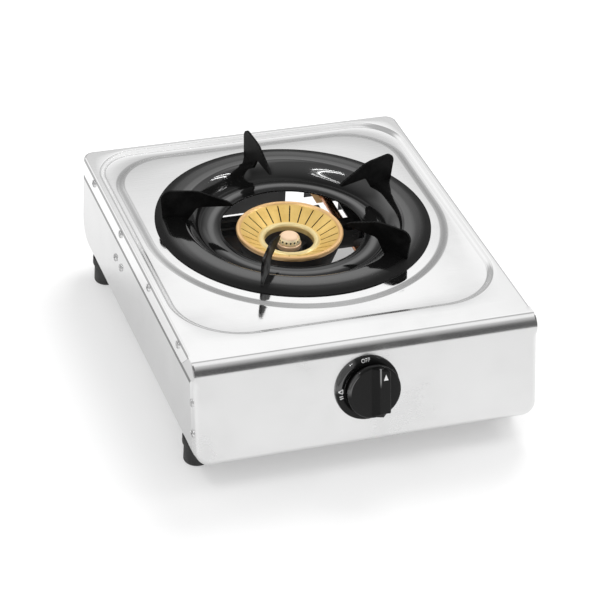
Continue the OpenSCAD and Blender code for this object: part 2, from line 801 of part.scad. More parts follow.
module drip_pan() {
    bead_n = 12;
    bead_start = asin(pan_sheet/2/bead_r);
    bead_turn = (360 - 2*bead_start)/bead_n;
    color("black") difference() {
        turned(0, axis_y) polygon(concat(
            [for (r = pan_radii) [r, pan_top(r)]],
            [for (i = [len(pan_radii) - 1 : -1 : 0])
                [pan_radii[i], pan_top(pan_radii[i]) - pan_sheet]],
            [for (i = [0 : bead_n]) [
                lip_r + bead_r*cos(bead_start + i*bead_turn),
                ring_z - pan_sheet/2 - bead_r*sin(bead_start + i*bead_turn)]]));
        for (i = [0 : support_n - 1]) at_support(i) for (r = tab_radii)
            translate([r - tab_fit, -support_sheet/2 - tab_fit, crown_z - 4])
                cube([tab_l + 2*tab_fit, support_sheet + 2*tab_fit, 8]);
    }
}

// Places on the pan: each support points out from the axis along its own x
module at_support(i) {
    translate([0, axis_y, 0]) rotate([0, 0, support_turn + 360*i/support_n]) children();
}

// Outline of a support's blade in (radius, height), its foot following the pan
support_in = pan_r - support_reach;
support_out = pan_r - support_edge;
slope_start = pan_r - slope_in;
slope_end = support_in + 4;
tooth_run = (slope_start - slope_end - 2)/tooth_n;
foot_pieces = 16;
foot_gap = 0.1;
function slope_z(r) = support_top - slope_drop*(slope_start - r)/(slope_start - support_in);
function foot_r_at(i) = pan_r - foot_out - (foot_in - foot_out)*i/foot_pieces;

module blade_outline() {
    corner = [support_out - support_corner_r, support_top - support_corner_r];
    arm_z = support_top - slope_drop - arm_h;
    polygon(concat(
        [[support_in + 1.5, arm_z + 1], [support_in, arm_z + arm_h - 1]],
        [for (k = [0 : tooth_n - 1]) let (r = slope_end + k*tooth_run) each [
            [r, slope_z(r)],
            [r + 0.35*tooth_run, slope_z(r) + tooth_h],
            [r + 0.75*tooth_run, slope_z(r + 0.75*tooth_run)]]],
        [[slope_start - 2, slope_z(slope_start - 2)], [slope_start + 4, support_top],
            [corner[0], support_top], corner, [support_out, corner[1]],
            [support_out - 0.6, corner[1] - 5]],
        [for (i = [0 : foot_pieces]) [foot_r_at(i), pan_top(foot_r_at(i)) + foot_gap]],
        [[slope_start, arm_z - 1.5], [slope_start - 3, arm_z]]));
    translate(corner) circle(support_corner_r);
}

// Stamped blade, held by two tabs that go through the pan and are bent over below
tab_fit = 0.15;
tab_radii = [wall_top_r + 0.5, crown_r + 2.8];

module pot_support(i) {
    color("black") at_support(i) {
        rotate([90, 0, 0]) linear_extrude(support_sheet, center = true) blade_outline();
        for (r = tab_radii) translate([r, -support_sheet/2, tab_low(r)]) {
            cube([tab_l, support_sheet, crown_z + 2 - tab_low(r)]);
            cube([tab_l, support_sheet/2 + tab_reach, tab_t]);
        }
    }
}

// Underside of a tab's bent end, which lies under the pan
function tab_low(r) = pan_top(r + tab_l) - pan_sheet - foot_gap - tab_t;

// Large brass cap: a dished ring with radial flame slots and a lip inside the bowl
cap_wall = 2.6;
skirt_r = cap_r - 1;
bowl_r = skirt_r - 2;
groove = cap_r - 4.5;

module burner_cap() {
    lip_out = bowl_r - cast_wall - 0.2;
    lip_in = lip_out - 2.2;
    low_r = eye_out - 1;
    low_z = eye_z - 1.5 - cap_wall;
    lip_top = low_z + (lip_in - low_r)*(cap_z - 1.6 - cap_wall - low_z)/(groove - 2 - low_r);
    slot_in = eye_out + 1.9;
    color("goldenrod") difference() {
        turned(burner_x, axis_y) polygon([
            [lip_out, cap_seat], [skirt_r, cap_seat], [cap_r, cap_z - 2], [cap_r - 0.6, cap_z - 0.5],
            [cap_r - 1.6, cap_z], [cap_r - 3.2, cap_z - 0.2], [groove, cap_z - 1.6],
            [eye_out + 1.2, eye_z - 1.5], [eye_out, eye_z - 0.3], [eye_out - 1.2, eye_z],
            [eye_r + 1.2, eye_z - 0.5], [eye_r, eye_z - 2], [eye_r, eye_seat], [eye_out - 2, eye_seat],
            [low_r, low_z], [lip_in, lip_top], [lip_in, cap_seat - 2.5], [lip_out, cap_seat - 2.5]]);
        for (i = [0 : slot_n - 1]) translate([burner_x, axis_y, eye_seat])
            rotate([0, 0, 360*(i + 0.75)/slot_n]) translate([slot_in, -slot_w/2, 0])
                cube([groove - 0.6 - slot_in, slot_w, cap_z - eye_seat + 1]);
    }
}

// Small brass cap with a row of side holes
module inner_cap() {
    spigot = column_r - run_fit;
    inside = small_top - 3.5;
    row_z = small_top - 3.9;
    wall_r = small_cap_r - 0.7;
    color("goldenrod") difference() {
        turned(burner_x, axis_y) polygon([
            [0, inside], [spigot - 2.4, inside], [spigot - 1.6, inside - 1],
            [spigot - 1.6, column_z - 4], [spigot, column_z - 4], [spigot, column_z],
            [small_cap_r, column_z], [small_cap_r, small_top - 7.4], [wall_r, small_top - 6.9],
            [wall_r - 0.5, small_top - 3.6], [wall_r - 1.2, small_top - 2.2],
            [small_top_r + 1.4, small_top - 0.6], [small_top_r, small_top], [0, small_top]]);
        for (i = [0 : small_hole_n - 1]) translate([burner_x, axis_y, row_z])
            rotate([0, 0, 360*(i + 0.5)/small_hole_n]) rotate([0, 90, 0])
                translate([0, 0, spigot - 3]) cylinder(r = small_hole_r, h = small_cap_r, $fn = 16);
    }
}

// Cast burner: gas ring, centre column on three ribs, two mixing tubes and two ears
module at_bolts() {
    for (s = [-1, 1]) translate([burner_x + s*ear_x, bolt_y, foot_z]) children();
}

ear_t = bowl_floor - foot_z + 2;

module burner_body() {
    column_out = column_r + cast_wall;
    inner_wall = eye_out - 2;
    column_foot = tube_z - tube_r + 1;
    rib_w = 7;
    color("dimgray") difference() {
        union() {
            turned(burner_x, axis_y) polygon([
                [eye_r, eye_seat], [inner_wall, eye_seat], [inner_wall, chamber_floor],
                [bowl_r - 10, chamber_floor], [bowl_r - cast_wall, cap_seat - 6],
                [bowl_r - cast_wall, cap_seat], [bowl_r, cap_seat], [bowl_r, cap_seat - 7],
                [bowl_r - 7, bowl_floor], [eye_r, bowl_floor]]);
            translate([burner_x, axis_y, column_foot])
                cylinder(r = column_out, h = column_z - column_foot);
            for (a = [30, 150, 270]) translate([burner_x, axis_y, bowl_floor]) rotate([0, 0, a])
                translate([column_out - 1, -rib_w/2, 0]) cube([eye_r - column_out + 2, rib_w, 10]);
            tube(0, tube_r, tube_len - bowl_r + 16);
            tube(1, tube_r, tube_len);
            for (s = [0, 1]) translate([burner_x, 0, 0]) mirror([s, 0, 0]) burner_ear();
        }
        translate([burner_x, axis_y, column_foot + cast_wall])
            cylinder(r = column_r, h = column_z - column_foot);
        translate([0, -1, 0]) {
            tube(0, tube_bore, tube_len - bowl_r + 20);
            tube(1, tube_bore, tube_len);
        }
        for (x = tube_xs) shutter_windows(x, tube_r + 1);
        at_bolts() cylinder(r = bolt_r + hole_fit, h = 4*ear_t, center = true);
    }
}

// Mixing tube or its bore, from its mouth to the back
module tube(i, r, length) {
    translate([tube_xs[i], mouth_y, tube_z]) rotate([-90, 0, 0]) cylinder(r = r, h = length);
}

// Ear from under the bowl to its bolt on the cross bar, drawn on the right of the axis
module burner_ear() {
    ear_r = 11;
    inner = 0.8*eye_r;
    translate([inner, axis_y + 0.9*eye_r, foot_z])
        cube([ear_x - inner, bolt_y + ear_r - axis_y - 0.9*eye_r, ear_t]);
    translate([ear_x, bolt_y, foot_z]) cylinder(r = ear_r, h = ear_t);
}

module burner_bolts() {
    color("silver") at_bolts() {
        translate([0, 0, ear_t]) hexagon(3.2*bolt_r, 1.4*bolt_r);
        translate([0, 0, -bar_sheet - 2*bolt_r])
            cylinder(r = bolt_r, h = ear_t + bar_sheet + 2*bolt_r);
        translate([0, 0, -bar_sheet - 1.6*bolt_r]) hexagon(3.2*bolt_r, 1.6*bolt_r);
    }
}

// Turning sleeves that set the air at the tubes' mouths
shutter_wall = 1.4;
shutter_len = 17;
window_w = 9;
window_l = 9;

module shutter_windows(x, r) {
    for (s = [-1, 1]) translate([x + s*r, mouth_y + 5 + window_l/2, tube_z])
        cube([r, window_l, window_w], center = true);
}

module air_shutter(i) {
    sleeve_in = tube_r + run_fit;
    nose_hole = 6.2;
    color("silver") difference() {
        translate([tube_xs[i], mouth_y - shutter_wall - 0.3, tube_z]) rotate([-90, 0, 0])
            difference() {
                cylinder(r = sleeve_in + shutter_wall, h = shutter_len);
                translate([0, 0, shutter_wall]) cylinder(r = sleeve_in, h = shutter_len);
                translate([0, 0, -1]) cylinder(r = nose_hole, h = 2*shutter_len);
            }
        shutter_windows(tube_xs[i], tube_r + shutter_wall);
    }
}

// Brass jets screwed into the valve's block, aimed at the tubes
jet_r = 4;
jet_depth = 7;

module injector(i) {
    nose = mouth_y - block_back - shutter_wall - 1.5;
    color("gold") translate([tube_xs[i], block_back, tube_z]) rotate([-90, 0, 0]) difference() {
        union() {
            translate([0, 0, -jet_depth]) cylinder(r = jet_r, h = jet_depth);
            hexagon(2.5*jet_r, 5);
            translate([0, 0, 5]) cylinder(r1 = 1.1*jet_r, r2 = 0.65*jet_r, h = nose - 5);
        }
        translate([0, 0, -jet_depth - 1]) cylinder(r = jet_r/2, h = jet_depth + nose - 2);
        cylinder(r = 0.5, h = 2*nose, $fn = 24);
    }
}

// Valve: barrel on the knob's axis, block with two jets and the pipe's socket
module on_valve() {
    on_front(knob_down) children();
}

cover_screw_r = 2;
cover_ear_r = 5.5;

module at_cover_screws() {
    on_valve() for (s = [-1, 1]) translate([s*cover_screw_x, 0, cover_face]) children();
}

module valve_body() {
    ear_len = 6*cover_screw_r;
    color("lightsteelblue") difference() {
        union() {
            on_valve() {
                translate([0, 0, -barrel_front - barrel_len]) cylinder(r = barrel_r, h = barrel_len);
                for (s = [-1, 1]) translate([s*cover_screw_x, 0, -barrel_front - ear_len])
                    cylinder(r = cover_ear_r, h = ear_len);
                translate([-cover_screw_x, -cover_ear_r/2, -barrel_front - ear_len])
                    cube([2*cover_screw_x, cover_ear_r, ear_len]);
            }
            translate([-block_w/2, block_back - block_d, block_low])
                cube([block_w, block_d, block_top - block_low]);
        }
        on_valve() translate([0, 0, plug_front - plug_len - 1.5]) {
            cylinder(r = plug_tip_r + run_fit, h = 2.5);
            translate([0, 0, 1.5])
                cylinder(r1 = plug_tip_r + run_fit, r2 = plug_r + run_fit, h = plug_len);
            translate([0, 0, 1.5 + plug_len]) cylinder(r = plug_r + run_fit, h = 4);
        }
        for (x = tube_xs) translate([x, block_back, tube_z]) rotate([90, 0, 0])
            translate([0, 0, -1]) cylinder(r = jet_r + hole_fit, h = jet_depth + 1.5);
        translate([block_w/2, pipe_front, -pipe_drop]) rotate([0, -90, 0])
            translate([0, 0, -1]) cylinder(r = pipe_r + hole_fit, h = pipe_socket + 1);
        at_cover_screws() translate([0, 0, -cover_t - 5*cover_screw_r])
            cylinder(r = cover_screw_r + hole_fit, h = 5*cover_screw_r + 1);
    }
}

module valve_cover() {
    color("silver") difference() {
        on_valve() translate([0, 0, -barrel_front]) {
            cylinder(r = barrel_r, h = cover_t);
            for (s = [-1, 1]) translate([s*cover_screw_x, 0, 0]) cylinder(r = cover_ear_r, h = cover_t);
            translate([-cover_screw_x, -cover_ear_r, 0])
                cube([2*cover_screw_x, 2*cover_ear_r, cover_t]);
        }
        on_valve() translate([0, 0, -2*barrel_front]) cylinder(r = stem_r + run_fit, h = 2*barrel_front);
        at_cover_screws() cylinder(r = cover_screw_r + hole_fit, h = 4*cover_t, center = true);
    }
}

// Bracket between the panel's back and the valve's cover
module valve_bracket() {
    half_h = 13;
    foot_w = 12;
    color("darkgray") difference() {
        on_valve() {
            translate([-bracket_x, -half_h, cover_face]) cube([2*bracket_x, 2*half_h, bracket_t]);
            for (s = [0, 1]) mirror([s, 0, 0]) {
                translate([bracket_x - bracket_t, -half_h, cover_face])
                    cube([bracket_t, 2*half_h, -sheet - cover_face]);
                translate([bracket_x - bracket_t, -half_h, -sheet - bracket_t])
                    cube([foot_w, 2*half_h, bracket_t]);
            }
        }
        on_valve() translate([0, 0, cover_face - 1]) cylinder(r = coil_r + 3, h = 4);
        at_cover_screws() cylinder(r = cover_screw_r + hole_fit, h = 4*cover_t, center = true);
    }
}

module valve_screws() {
    color("silver") at_cover_screws() {
        translate([0, 0, bracket_t]) cylinder(r = 1.8*cover_screw_r, h = 1.1*cover_screw_r);
        translate([0, 0, -cover_t - 4*cover_screw_r])
            cylinder(r = cover_screw_r, h = cover_t + 4*cover_screw_r + bracket_t);
    }
}

// Taper plug with a socket that takes the stem's flat
module valve_plug() {
    color("gold") on_valve() difference() {
        translate([0, 0, plug_front - plug_len])
            cylinder(r1 = plug_tip_r, r2 = plug_r, h = plug_len);
        translate([0, 0, -stem_in - push - 2]) stem_bar(stem_r + run_fit, stem_flat + run_fit, 2*stem_in);
        translate([0, 0, plug_front - 0.75*plug_len]) rotate([0, 90, 0])
            cylinder(r = 2, h = 4*plug_r, center = true);
    }
}

// Round bar with one flat, for the stem and its sockets
module stem_bar(r, flat, length) {
    linear_extrude(length) intersection() {
        circle(r);
        translate([-2*r, -2*r]) square([2*r + flat, 4*r]);
    }
}

knob_socket = base_top - 1;

module valve_stem() {
    flat_end = plug_front + push + 0.5;
    color("silver") on_valve() {
        translate([0, 0, -stem_in]) stem_bar(stem_r, stem_flat, flat_end + stem_in);
        translate([0, 0, flat_end]) cylinder(r = stem_r, h = collar_back - flat_end);
        translate([0, 0, collar_back]) cylinder(r = collar_r, h = collar_t);
        translate([0, 0, collar_back + collar_t])
            stem_bar(stem_r, stem_flat, knob_socket - collar_back - collar_t - 0.5);
    }
}

// Return spring: one wire of helical turns between the cover and the stem's collar
spring_len = collar_back - cover_face - 0.2;
coil_rise = (spring_len - 2*wire_r)/spring_turns;
coil_gap = coil_rise - 2*wire_r;
echo(least_gap_of_spring = coil_gap);

module valve_spring() {
    rings = 8*spring_turns;
    sides = 6;
    function ring_point(i, k) = let (
        turn = 360*i/8,
        side = 360*k/sides,
        r = coil_r + wire_r*cos(side)
    ) [r*cos(turn), r*sin(turn), wire_r + coil_rise*i/8 + wire_r*sin(side)];
    points = [for (i = [0 : rings]) for (k = [0 : sides - 1]) ring_point(i, k)];
    walls = [for (i = [0 : rings - 1]) for (k = [0 : sides - 1])
        let (a = sides*i + k, b = sides*i + (k + 1)%sides)
        each [[a, a + sides, b], [b, a + sides, b + sides]]];
    last = sides*rings;
    ends = [for (k = [1 : sides - 2]) each [[0, k, k + 1], [last, last + k + 1, last + k]]];
    color("silver") on_valve() translate([0, 0, cover_face + 0.1])
        polyhedron(points, concat(walls, ends));
}

// Gas pipe from the valve's block to the inlet at the back
pipe_socket = 7;
pipe_front = block_back - block_d/2;
pipe_end = panel_out - sheet - 16;

module pipe_run(r) {
    turn_x = pipe_x - pipe_bend_r;
    turn_y = pipe_front + pipe_bend_r;
    start_x = block_w/2 - pipe_socket + 0.5;
    translate([start_x, pipe_front, -pipe_drop]) rotate([0, 90, 0])
        cylinder(r = r, h = turn_x - start_x);
    translate([turn_x, turn_y, -pipe_drop]) rotate([0, 0, -90]) rotate_extrude(angle = 90)
        translate([pipe_bend_r, 0]) circle(r);
    translate([pipe_x, turn_y, -pipe_drop]) rotate([-90, 0, 0])
        cylinder(r = r, h = pipe_end + pipe_socket - 0.5 - turn_y);
}

module gas_pipe() {
    color("peru") difference() {
        pipe_run(pipe_r);
        pipe_run(pipe_r - pipe_wall);
    }
}

module pipe_nut() {
    color("gold") translate([block_w/2, pipe_front, -pipe_drop]) rotate([0, 90, 0]) difference() {
        hexagon(3.25*pipe_r, 9);
        translate([0, 0, -1]) cylinder(r = pipe_r + hole_fit, h = 11);
    }
}

// Inlet: hexagon collar inside the back panel, neck through it and a hose spigot outside
module on_inlet() {
    translate([pipe_x, pipe_end, -pipe_drop]) rotate([-90, 0, 0]) children();
}

module inlet_nozzle() {
    collar_len = panel_out - sheet - pipe_end;
    neck_len = sheet + locknut_t;
    crest_n = 3;
    crest_l = (spigot_len - spigot_plain)/crest_n;
    valley_r = spigot_r - 0.6;
    color("gold") on_inlet() difference() {
        union() {
            hexagon(2*neck_r + 4, collar_len);
            translate([0, 0, collar_len]) cylinder(r = neck_r, h = neck_len);
            translate([0, 0, collar_len + neck_len]) {
                cylinder(r = spigot_r, h = spigot_plain);
                for (k = [0 : crest_n - 1]) translate([0, 0, spigot_plain + k*crest_l]) {
                    cylinder(r = valley_r, h = crest_l/4);
                    translate([0, 0, crest_l/4])
                        cylinder(r1 = spigot_r, r2 = valley_r, h = 3*crest_l/4);
                }
            }
        }
        translate([0, 0, -1]) cylinder(r = pipe_r + hole_fit, h = pipe_socket + 1);
        cylinder(r = pipe_r - pipe_wall, h = collar_len + neck_len + spigot_len + 1);
    }
}

module inlet_locknut() {
    color("gold") on_inlet() translate([0, 0, panel_out - pipe_end]) difference() {
        hexagon(locknut_flat, locknut_t - 0.5);
        translate([0, 0, -1]) cylinder(r = neck_r + hole_fit, h = locknut_t + 2);
    }
}

// Bezel: a round-backed ring on the panel with two legs through it
bezel_leg_x = 15;
bezel_leg_r = 1.6;
panel_gap = 0.02;

module bezel() {
    floor_t = 1;
    mid_r = bezel_r - bezel_w/2;
    color("black") on_valve() difference() {
        translate([bezel_x, 0, 0]) {
            rotate_extrude() polygon(concat(
                [[0, panel_gap], [bezel_r, panel_gap]],
                [for (a = [0 : 12 : 180]) [
                    mid_r + bezel_w/2*cos(a), floor_t + (bezel_h - floor_t)*pow(sin(a), 0.7)]],
                [[0, floor_t]]));
            for (s = [-1, 1]) translate([s*bezel_leg_x, 0, -6])
                cylinder(r = bezel_leg_r, h = 6.5, $fn = 24);
        }
        translate([0, 0, -1]) cylinder(r = collar_r + 1.8, h = 2*bezel_h);
    }
}

// Knob: a round base with a hub for the stem and a grip beside the axis
grip_r = knob_r - 0.6;

module knob() {
    edge_r = 2.5;
    hub_low = 2;
    color("black") on_valve() difference() {
        union() {
            rotate_extrude() polygon(concat(
                [[0, hub_low], [stem_r + 2.6, hub_low], [stem_r + 2.6, knob_gap],
                    [knob_r - 1.2, knob_gap], [knob_r, knob_gap + 1.2]],
                [for (a = [0 : 15 : 90]) [
                    knob_r - edge_r + edge_r*cos(a), base_top - edge_r + edge_r*sin(a)]],
                [[0, base_top]]));
            grip();
        }
        translate([0, 0, hub_low - 1])
            stem_bar(stem_r + hole_fit/2, stem_flat + hole_fit/2, knob_socket - hub_low + 1);
        pointer_prism(tip - 1, 2, hole_fit);
    }
}

// Grip with a steep right side, a leaning left side and a cut-back lower end
module grip() {
    foot = base_top - 1;
    right = grip_x + grip_w/2;
    left = grip_x - grip_w/2;
    intersection() {
        translate([0, 0, foot]) cylinder(r = grip_r, h = tip - foot);
        rotate([90, 0, 0]) linear_extrude(4*knob_r, center = true) polygon([
            [left - 8, foot], [left - 0.8, tip - 0.8], [left, tip], [right, tip],
            [right + 0.6, tip - 0.6], [right + 1.4, foot]]);
        rotate([90, 0, 90]) linear_extrude(4*knob_r, center = true) polygon([
            [-grip_low - 0.6*grip_h, foot], [knob_r, foot], [knob_r, tip], [-grip_low, tip]]);
    }
}

// Triangle near the crest's upper end
module pointer_prism(z, h, grow) {
    foot_y = 0.78*grip_r - 1.25*pointer_w;
    translate([grip_x, 0, z]) linear_extrude(h) polygon([
        [-pointer_w/2 - grow, foot_y - grow], [pointer_w/2 + grow, foot_y - grow],
        [0, foot_y + 1.25*pointer_w + 2*grow]]);
}

module knob_pointer() {
    color("white") on_valve() pointer_prism(tip - 1, 1 + pointer_h, 0);
}

place() top_panel();
place() side_panel();  // side_panel_left
place() mirror([1, 0, 0]) side_panel();  // side_panel_right
place() back_panel();
place() cross_bar();
place() foot(0);  // foot_front_left
place() foot(1);  // foot_front_right
place() foot(2);  // foot_back_left
place() foot(3);  // foot_back_right
place() foot_screws();
place() flange_screws();
place() front_screws();
place() bar_screws();
place() back_screws();
place() drip_pan();
place() pot_support(0);  // pot_support_1
place() pot_support(1);  // pot_support_2
place() pot_support(2);  // pot_support_3
place() pot_support(3);  // pot_support_4
place() pot_support(4);  // pot_support_5
place() burner_body();
place() burner_bolts();
place() burner_cap();
place() inner_cap();
place() air_shutter(0);  // air_shutter_outer
place() air_shutter(1);  // air_shutter_inner
place() injector(0);  // injector_outer
place() injector(1);  // injector_inner
place() valve_bracket();
place() valve_body();
place() valve_cover();
place() valve_screws();
place() valve_plug();
place() valve_stem();
place() valve_spring();
place() gas_pipe();
place() pipe_nut();
place() inlet_nozzle();
place() inlet_locknut();
place() bezel();
place() knob();
place() knob_pointer();
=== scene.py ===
# %% [markdown]
# # A table-top gas stove
#
# The solids of this stove were made in CAD and packed as one model. This script loads that model, keeps
# every solid where it is, and gives the stove its looks: smooth surfaces for the sheets and turned pieces
# that the solids show in facets, and a finish for every material. The model's frame is x to the right, y
# to the back and z up.

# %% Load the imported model
import json
import math

import bmesh
import bpy
import numpy as np
from mathutils import Matrix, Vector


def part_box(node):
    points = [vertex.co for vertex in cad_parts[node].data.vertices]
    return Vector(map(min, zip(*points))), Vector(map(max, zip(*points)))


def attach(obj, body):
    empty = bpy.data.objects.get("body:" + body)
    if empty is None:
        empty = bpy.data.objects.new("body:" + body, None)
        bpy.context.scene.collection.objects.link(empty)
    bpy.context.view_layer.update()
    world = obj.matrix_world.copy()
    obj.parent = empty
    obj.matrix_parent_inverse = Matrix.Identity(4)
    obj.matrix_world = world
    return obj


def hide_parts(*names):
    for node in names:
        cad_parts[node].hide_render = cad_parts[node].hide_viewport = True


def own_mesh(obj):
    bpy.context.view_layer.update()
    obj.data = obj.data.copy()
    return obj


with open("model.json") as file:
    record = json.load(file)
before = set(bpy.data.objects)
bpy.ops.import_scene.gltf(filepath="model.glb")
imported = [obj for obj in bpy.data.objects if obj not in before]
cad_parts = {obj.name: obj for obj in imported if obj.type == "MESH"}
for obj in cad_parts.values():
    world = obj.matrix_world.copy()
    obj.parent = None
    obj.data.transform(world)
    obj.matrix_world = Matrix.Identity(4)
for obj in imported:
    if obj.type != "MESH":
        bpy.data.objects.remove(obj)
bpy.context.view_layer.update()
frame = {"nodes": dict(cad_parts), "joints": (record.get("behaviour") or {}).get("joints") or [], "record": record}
nodes = frame["nodes"]

# %% [markdown]
# ## Places on the stove
#
# The new surfaces are drawn in millimetres in two places: round the middle of the flat top, and on the
# leaning front panel round the knob's axis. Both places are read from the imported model, so that a surface
# lands on its solid.

# %% Read the places from the model
MM = 0.001
HALF_DEPTH = 175.0
top_low, top_high = (np.array(v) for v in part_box("top_panel"))
body_origin = np.array([0.0, top_high[1] - HALF_DEPTH * MM, top_high[2]])
turn = next(j for j in frame["joints"] if j["name"] == "valve_turn")
knob_at, panel_out = np.array(turn["pos_m"]), np.array(turn["axis"])
panel_up = np.array([0.0, panel_out[2], -panel_out[1]])
lean = math.atan2(panel_out[2], -panel_out[1])


def in_body(x, y, z):
    """Millimetres from the middle of the flat top, as points of the model."""
    return np.stack(np.broadcast_arrays(x, y, z), -1) * MM + body_origin


def on_panel(x, up, out):
    """Millimetres from the knob's axis on the front panel: to the right, up the panel and out of it."""
    x, up, out = (v[..., None] * MM for v in np.broadcast_arrays(x, up, out))
    return knob_at + x * np.array([1.0, 0.0, 0.0]) + up * panel_up + out * panel_out


print("top:", np.round(body_origin, 4), "knob:", np.round(knob_at, 4))
print("lean:", round(math.degrees(lean), 2))

# %% [markdown]
# ## Camera
#
# The photograph was taken with a long lens from the front left, well above the stove, with the camera
# rolled a little. These numbers come from fitting a camera to the body's straight edges and round rims:
# three axes that are square to each other, the place of the lens, and its length on a 36 mm sensor.

# %% Make the camera
camera_data = bpy.data.cameras.new("camera")
camera = bpy.data.objects.new("camera", camera_data)
bpy.context.scene.collection.objects.link(camera)
bpy.context.scene.camera = camera
right = np.array([0.94566, -0.32077, 0.05298])
up = np.array([0.13554, 0.53705, 0.83260])
back = np.cross(right, up)
lens_right, lens_up, lens_back = -0.685, -59.46, 2369.54
place = body_origin + (lens_right * right + lens_up * up + lens_back * back) * MM
matrix = np.eye(4)
matrix[:3, 0], matrix[:3, 1], matrix[:3, 2], matrix[:3, 3] = right, up, back, place
camera.matrix_world = Matrix(matrix.tolist())
camera_data.lens, camera_data.sensor_width = 163.502, 36.0
camera_data.clip_start, camera_data.clip_end = 0.05, 50.0
print("camera at:", np.round(place, 4))

# %% [markdown]
# ## Maths in materials
#
# A finish is easier to read as a formula than as boxes and wires. `Value` wraps one socket, and each
# operator adds the Math node that works it out. Every other node comes from `Nodes.add`, which sets the
# node's settings first and then fills or links its sockets.

# %% Wrap sockets so that formulas make nodes
class Value:
    """One output socket; arithmetic on it adds Math nodes to its tree."""

    def __init__(self, nodes_of, socket):
        self.nodes_of, self.socket = nodes_of, socket

    def math(self, operation, first, second=0.0):
        """Adds the Math node of one operation."""
        return self.nodes_of.add("ShaderNodeMath", {"operation": operation}, {0: first, 1: second})

    def __add__(self, other):
        return self.math("ADD", self, other)

    def __radd__(self, other):
        return self.math("ADD", other, self)

    def __sub__(self, other):
        return self.math("SUBTRACT", self, other)

    def __rsub__(self, other):
        return self.math("SUBTRACT", other, self)

    def __mul__(self, other):
        return self.math("MULTIPLY", self, other)

    def __rmul__(self, other):
        return self.math("MULTIPLY", other, self)

    def __pow__(self, other):
        return self.math("POWER", self, other)

    def __neg__(self):
        return self.math("MULTIPLY", self, -1.0)

    def __abs__(self):
        return self.math("ABSOLUTE", self)


class Nodes:
    """Adds nodes to one tree and links them."""

    def __init__(self, tree):
        self.tree = tree
        tree.nodes.clear()

    def add(self, kind, settings=None, sockets=None, output=0):
        """Makes a node of this kind, sets its settings, fills its sockets, and returns one of its outputs."""
        node = self.tree.nodes.new(kind)
        for name, value in (settings or {}).items():
            setattr(node, name, value)
        for name, value in (sockets or {}).items():
            if isinstance(value, Value):
                self.tree.links.new(value.socket, node.inputs[name])
            else:
                node.inputs[name].default_value = value
        return Value(self, node.outputs[output]) if len(node.outputs) else node

    def ramp(self, value, low, high):
        """0 at low, 1 at high, smooth between."""
        return self.add("ShaderNodeMapRange", {"interpolation_type": "SMOOTHSTEP"},
                        {"Value": value, "From Min": low, "From Max": high})

    def band(self, value, middle, half, soft):
        """1 where the value is within half of the middle, 0 beyond, with soft sides."""
        return 1.0 - self.ramp(abs(value - middle), half, half + soft)

    def mix(self, factor, first, second):
        """Goes from the first colour to the second."""
        return self.add("ShaderNodeMix", {"data_type": "RGBA"}, {0: factor, 6: first, 7: second}, output=2)

    def place(self):
        """The Object coordinates, in metres, as one vector."""
        return self.add("ShaderNodeTexCoord", output="Object")

    def parts(self, vector):
        """A vector's x, y and z."""
        outs = self.add("ShaderNodeSeparateXYZ", {}, {0: vector}).socket.node.outputs
        return [Value(self, out) for out in outs]

    def along(self, vector, direction):
        """How far a vector reaches along a direction: their dot product."""
        return self.add("ShaderNodeVectorMath", {"operation": "DOT_PRODUCT"},
                        {0: vector, 1: direction.tolist()}, output=1)

    def attribute(self, name):
        """A number kept on the piece's own points."""
        return self.add("ShaderNodeAttribute", {"attribute_name": name}, output="Fac")

    def stretched(self, vector, factors):
        """The vector with each of its parts multiplied by a factor of its own."""
        return self.add("ShaderNodeVectorMath", {"operation": "MULTIPLY"}, {0: vector, 1: factors})

    def noise(self, vector, scale, detail=2.0, rough=0.5):
        """Cloudy numbers around 0.5."""
        return self.add("ShaderNodeTexNoise", {}, {"Vector": vector, "Scale": scale, "Detail": detail,
                                                   "Roughness": rough})

    def bump(self, height, strength, distance):
        """A normal that is tilted by the slope of a height."""
        return self.add("ShaderNodeBump", {}, {"Strength": strength, "Distance": distance, "Height": height})

    def pointed_edges(self, low, high):
        """1 along edges that stand out, 0 on flats, from how pointed the surface is."""
        return self.ramp(self.add("ShaderNodeNewGeometry", output="Pointiness"), low, high)


def grey(v):
    """A colour with the same number for red, green and blue."""
    return (v, v, v, 1.0)


def finish(name, sockets, paint):
    """A Principled material: fixed numbers go on its sockets, and paint returns the sockets that vary."""
    material = bpy.data.materials.new(name)
    material.use_nodes = True
    tree = Nodes(material.node_tree)
    shader = tree.add("ShaderNodeBsdfPrincipled", {}, {**sockets, **paint(tree)})
    tree.add("ShaderNodeOutputMaterial", {}, {"Surface": shader})
    return material


print("formulas ready")

# %% [markdown]
# ## Surfaces from formulas
#
# A pressed sheet, a turned cap and a moulded knob are smooth on the real stove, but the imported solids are
# made of flat triangles, and a mirror finish shows each one. So each of these pieces gets a surface of
# its own: a grid of points worked out at once with numpy, from the same measures as the solid. Grids are
# welded where they meet, and only edges sharper than an angle in degrees stay sharp.

# %% Tools for grids of points
SHARP, WELD = 38.0, 2e-6
new_pieces = []


def quads(rows, columns, around_rows, around_columns):
    """The four corner numbers between each point of a grid and its neighbours in the next row and column."""
    r, c = np.meshgrid(np.arange(rows - (not around_rows)), np.arange(columns - (not around_columns)),
                       indexing="ij")
    s, d = (r + 1) % rows, (c + 1) % columns
    return np.stack([r * columns + c, r * columns + d, s * columns + d, s * columns + c], -1).reshape(-1, 4)


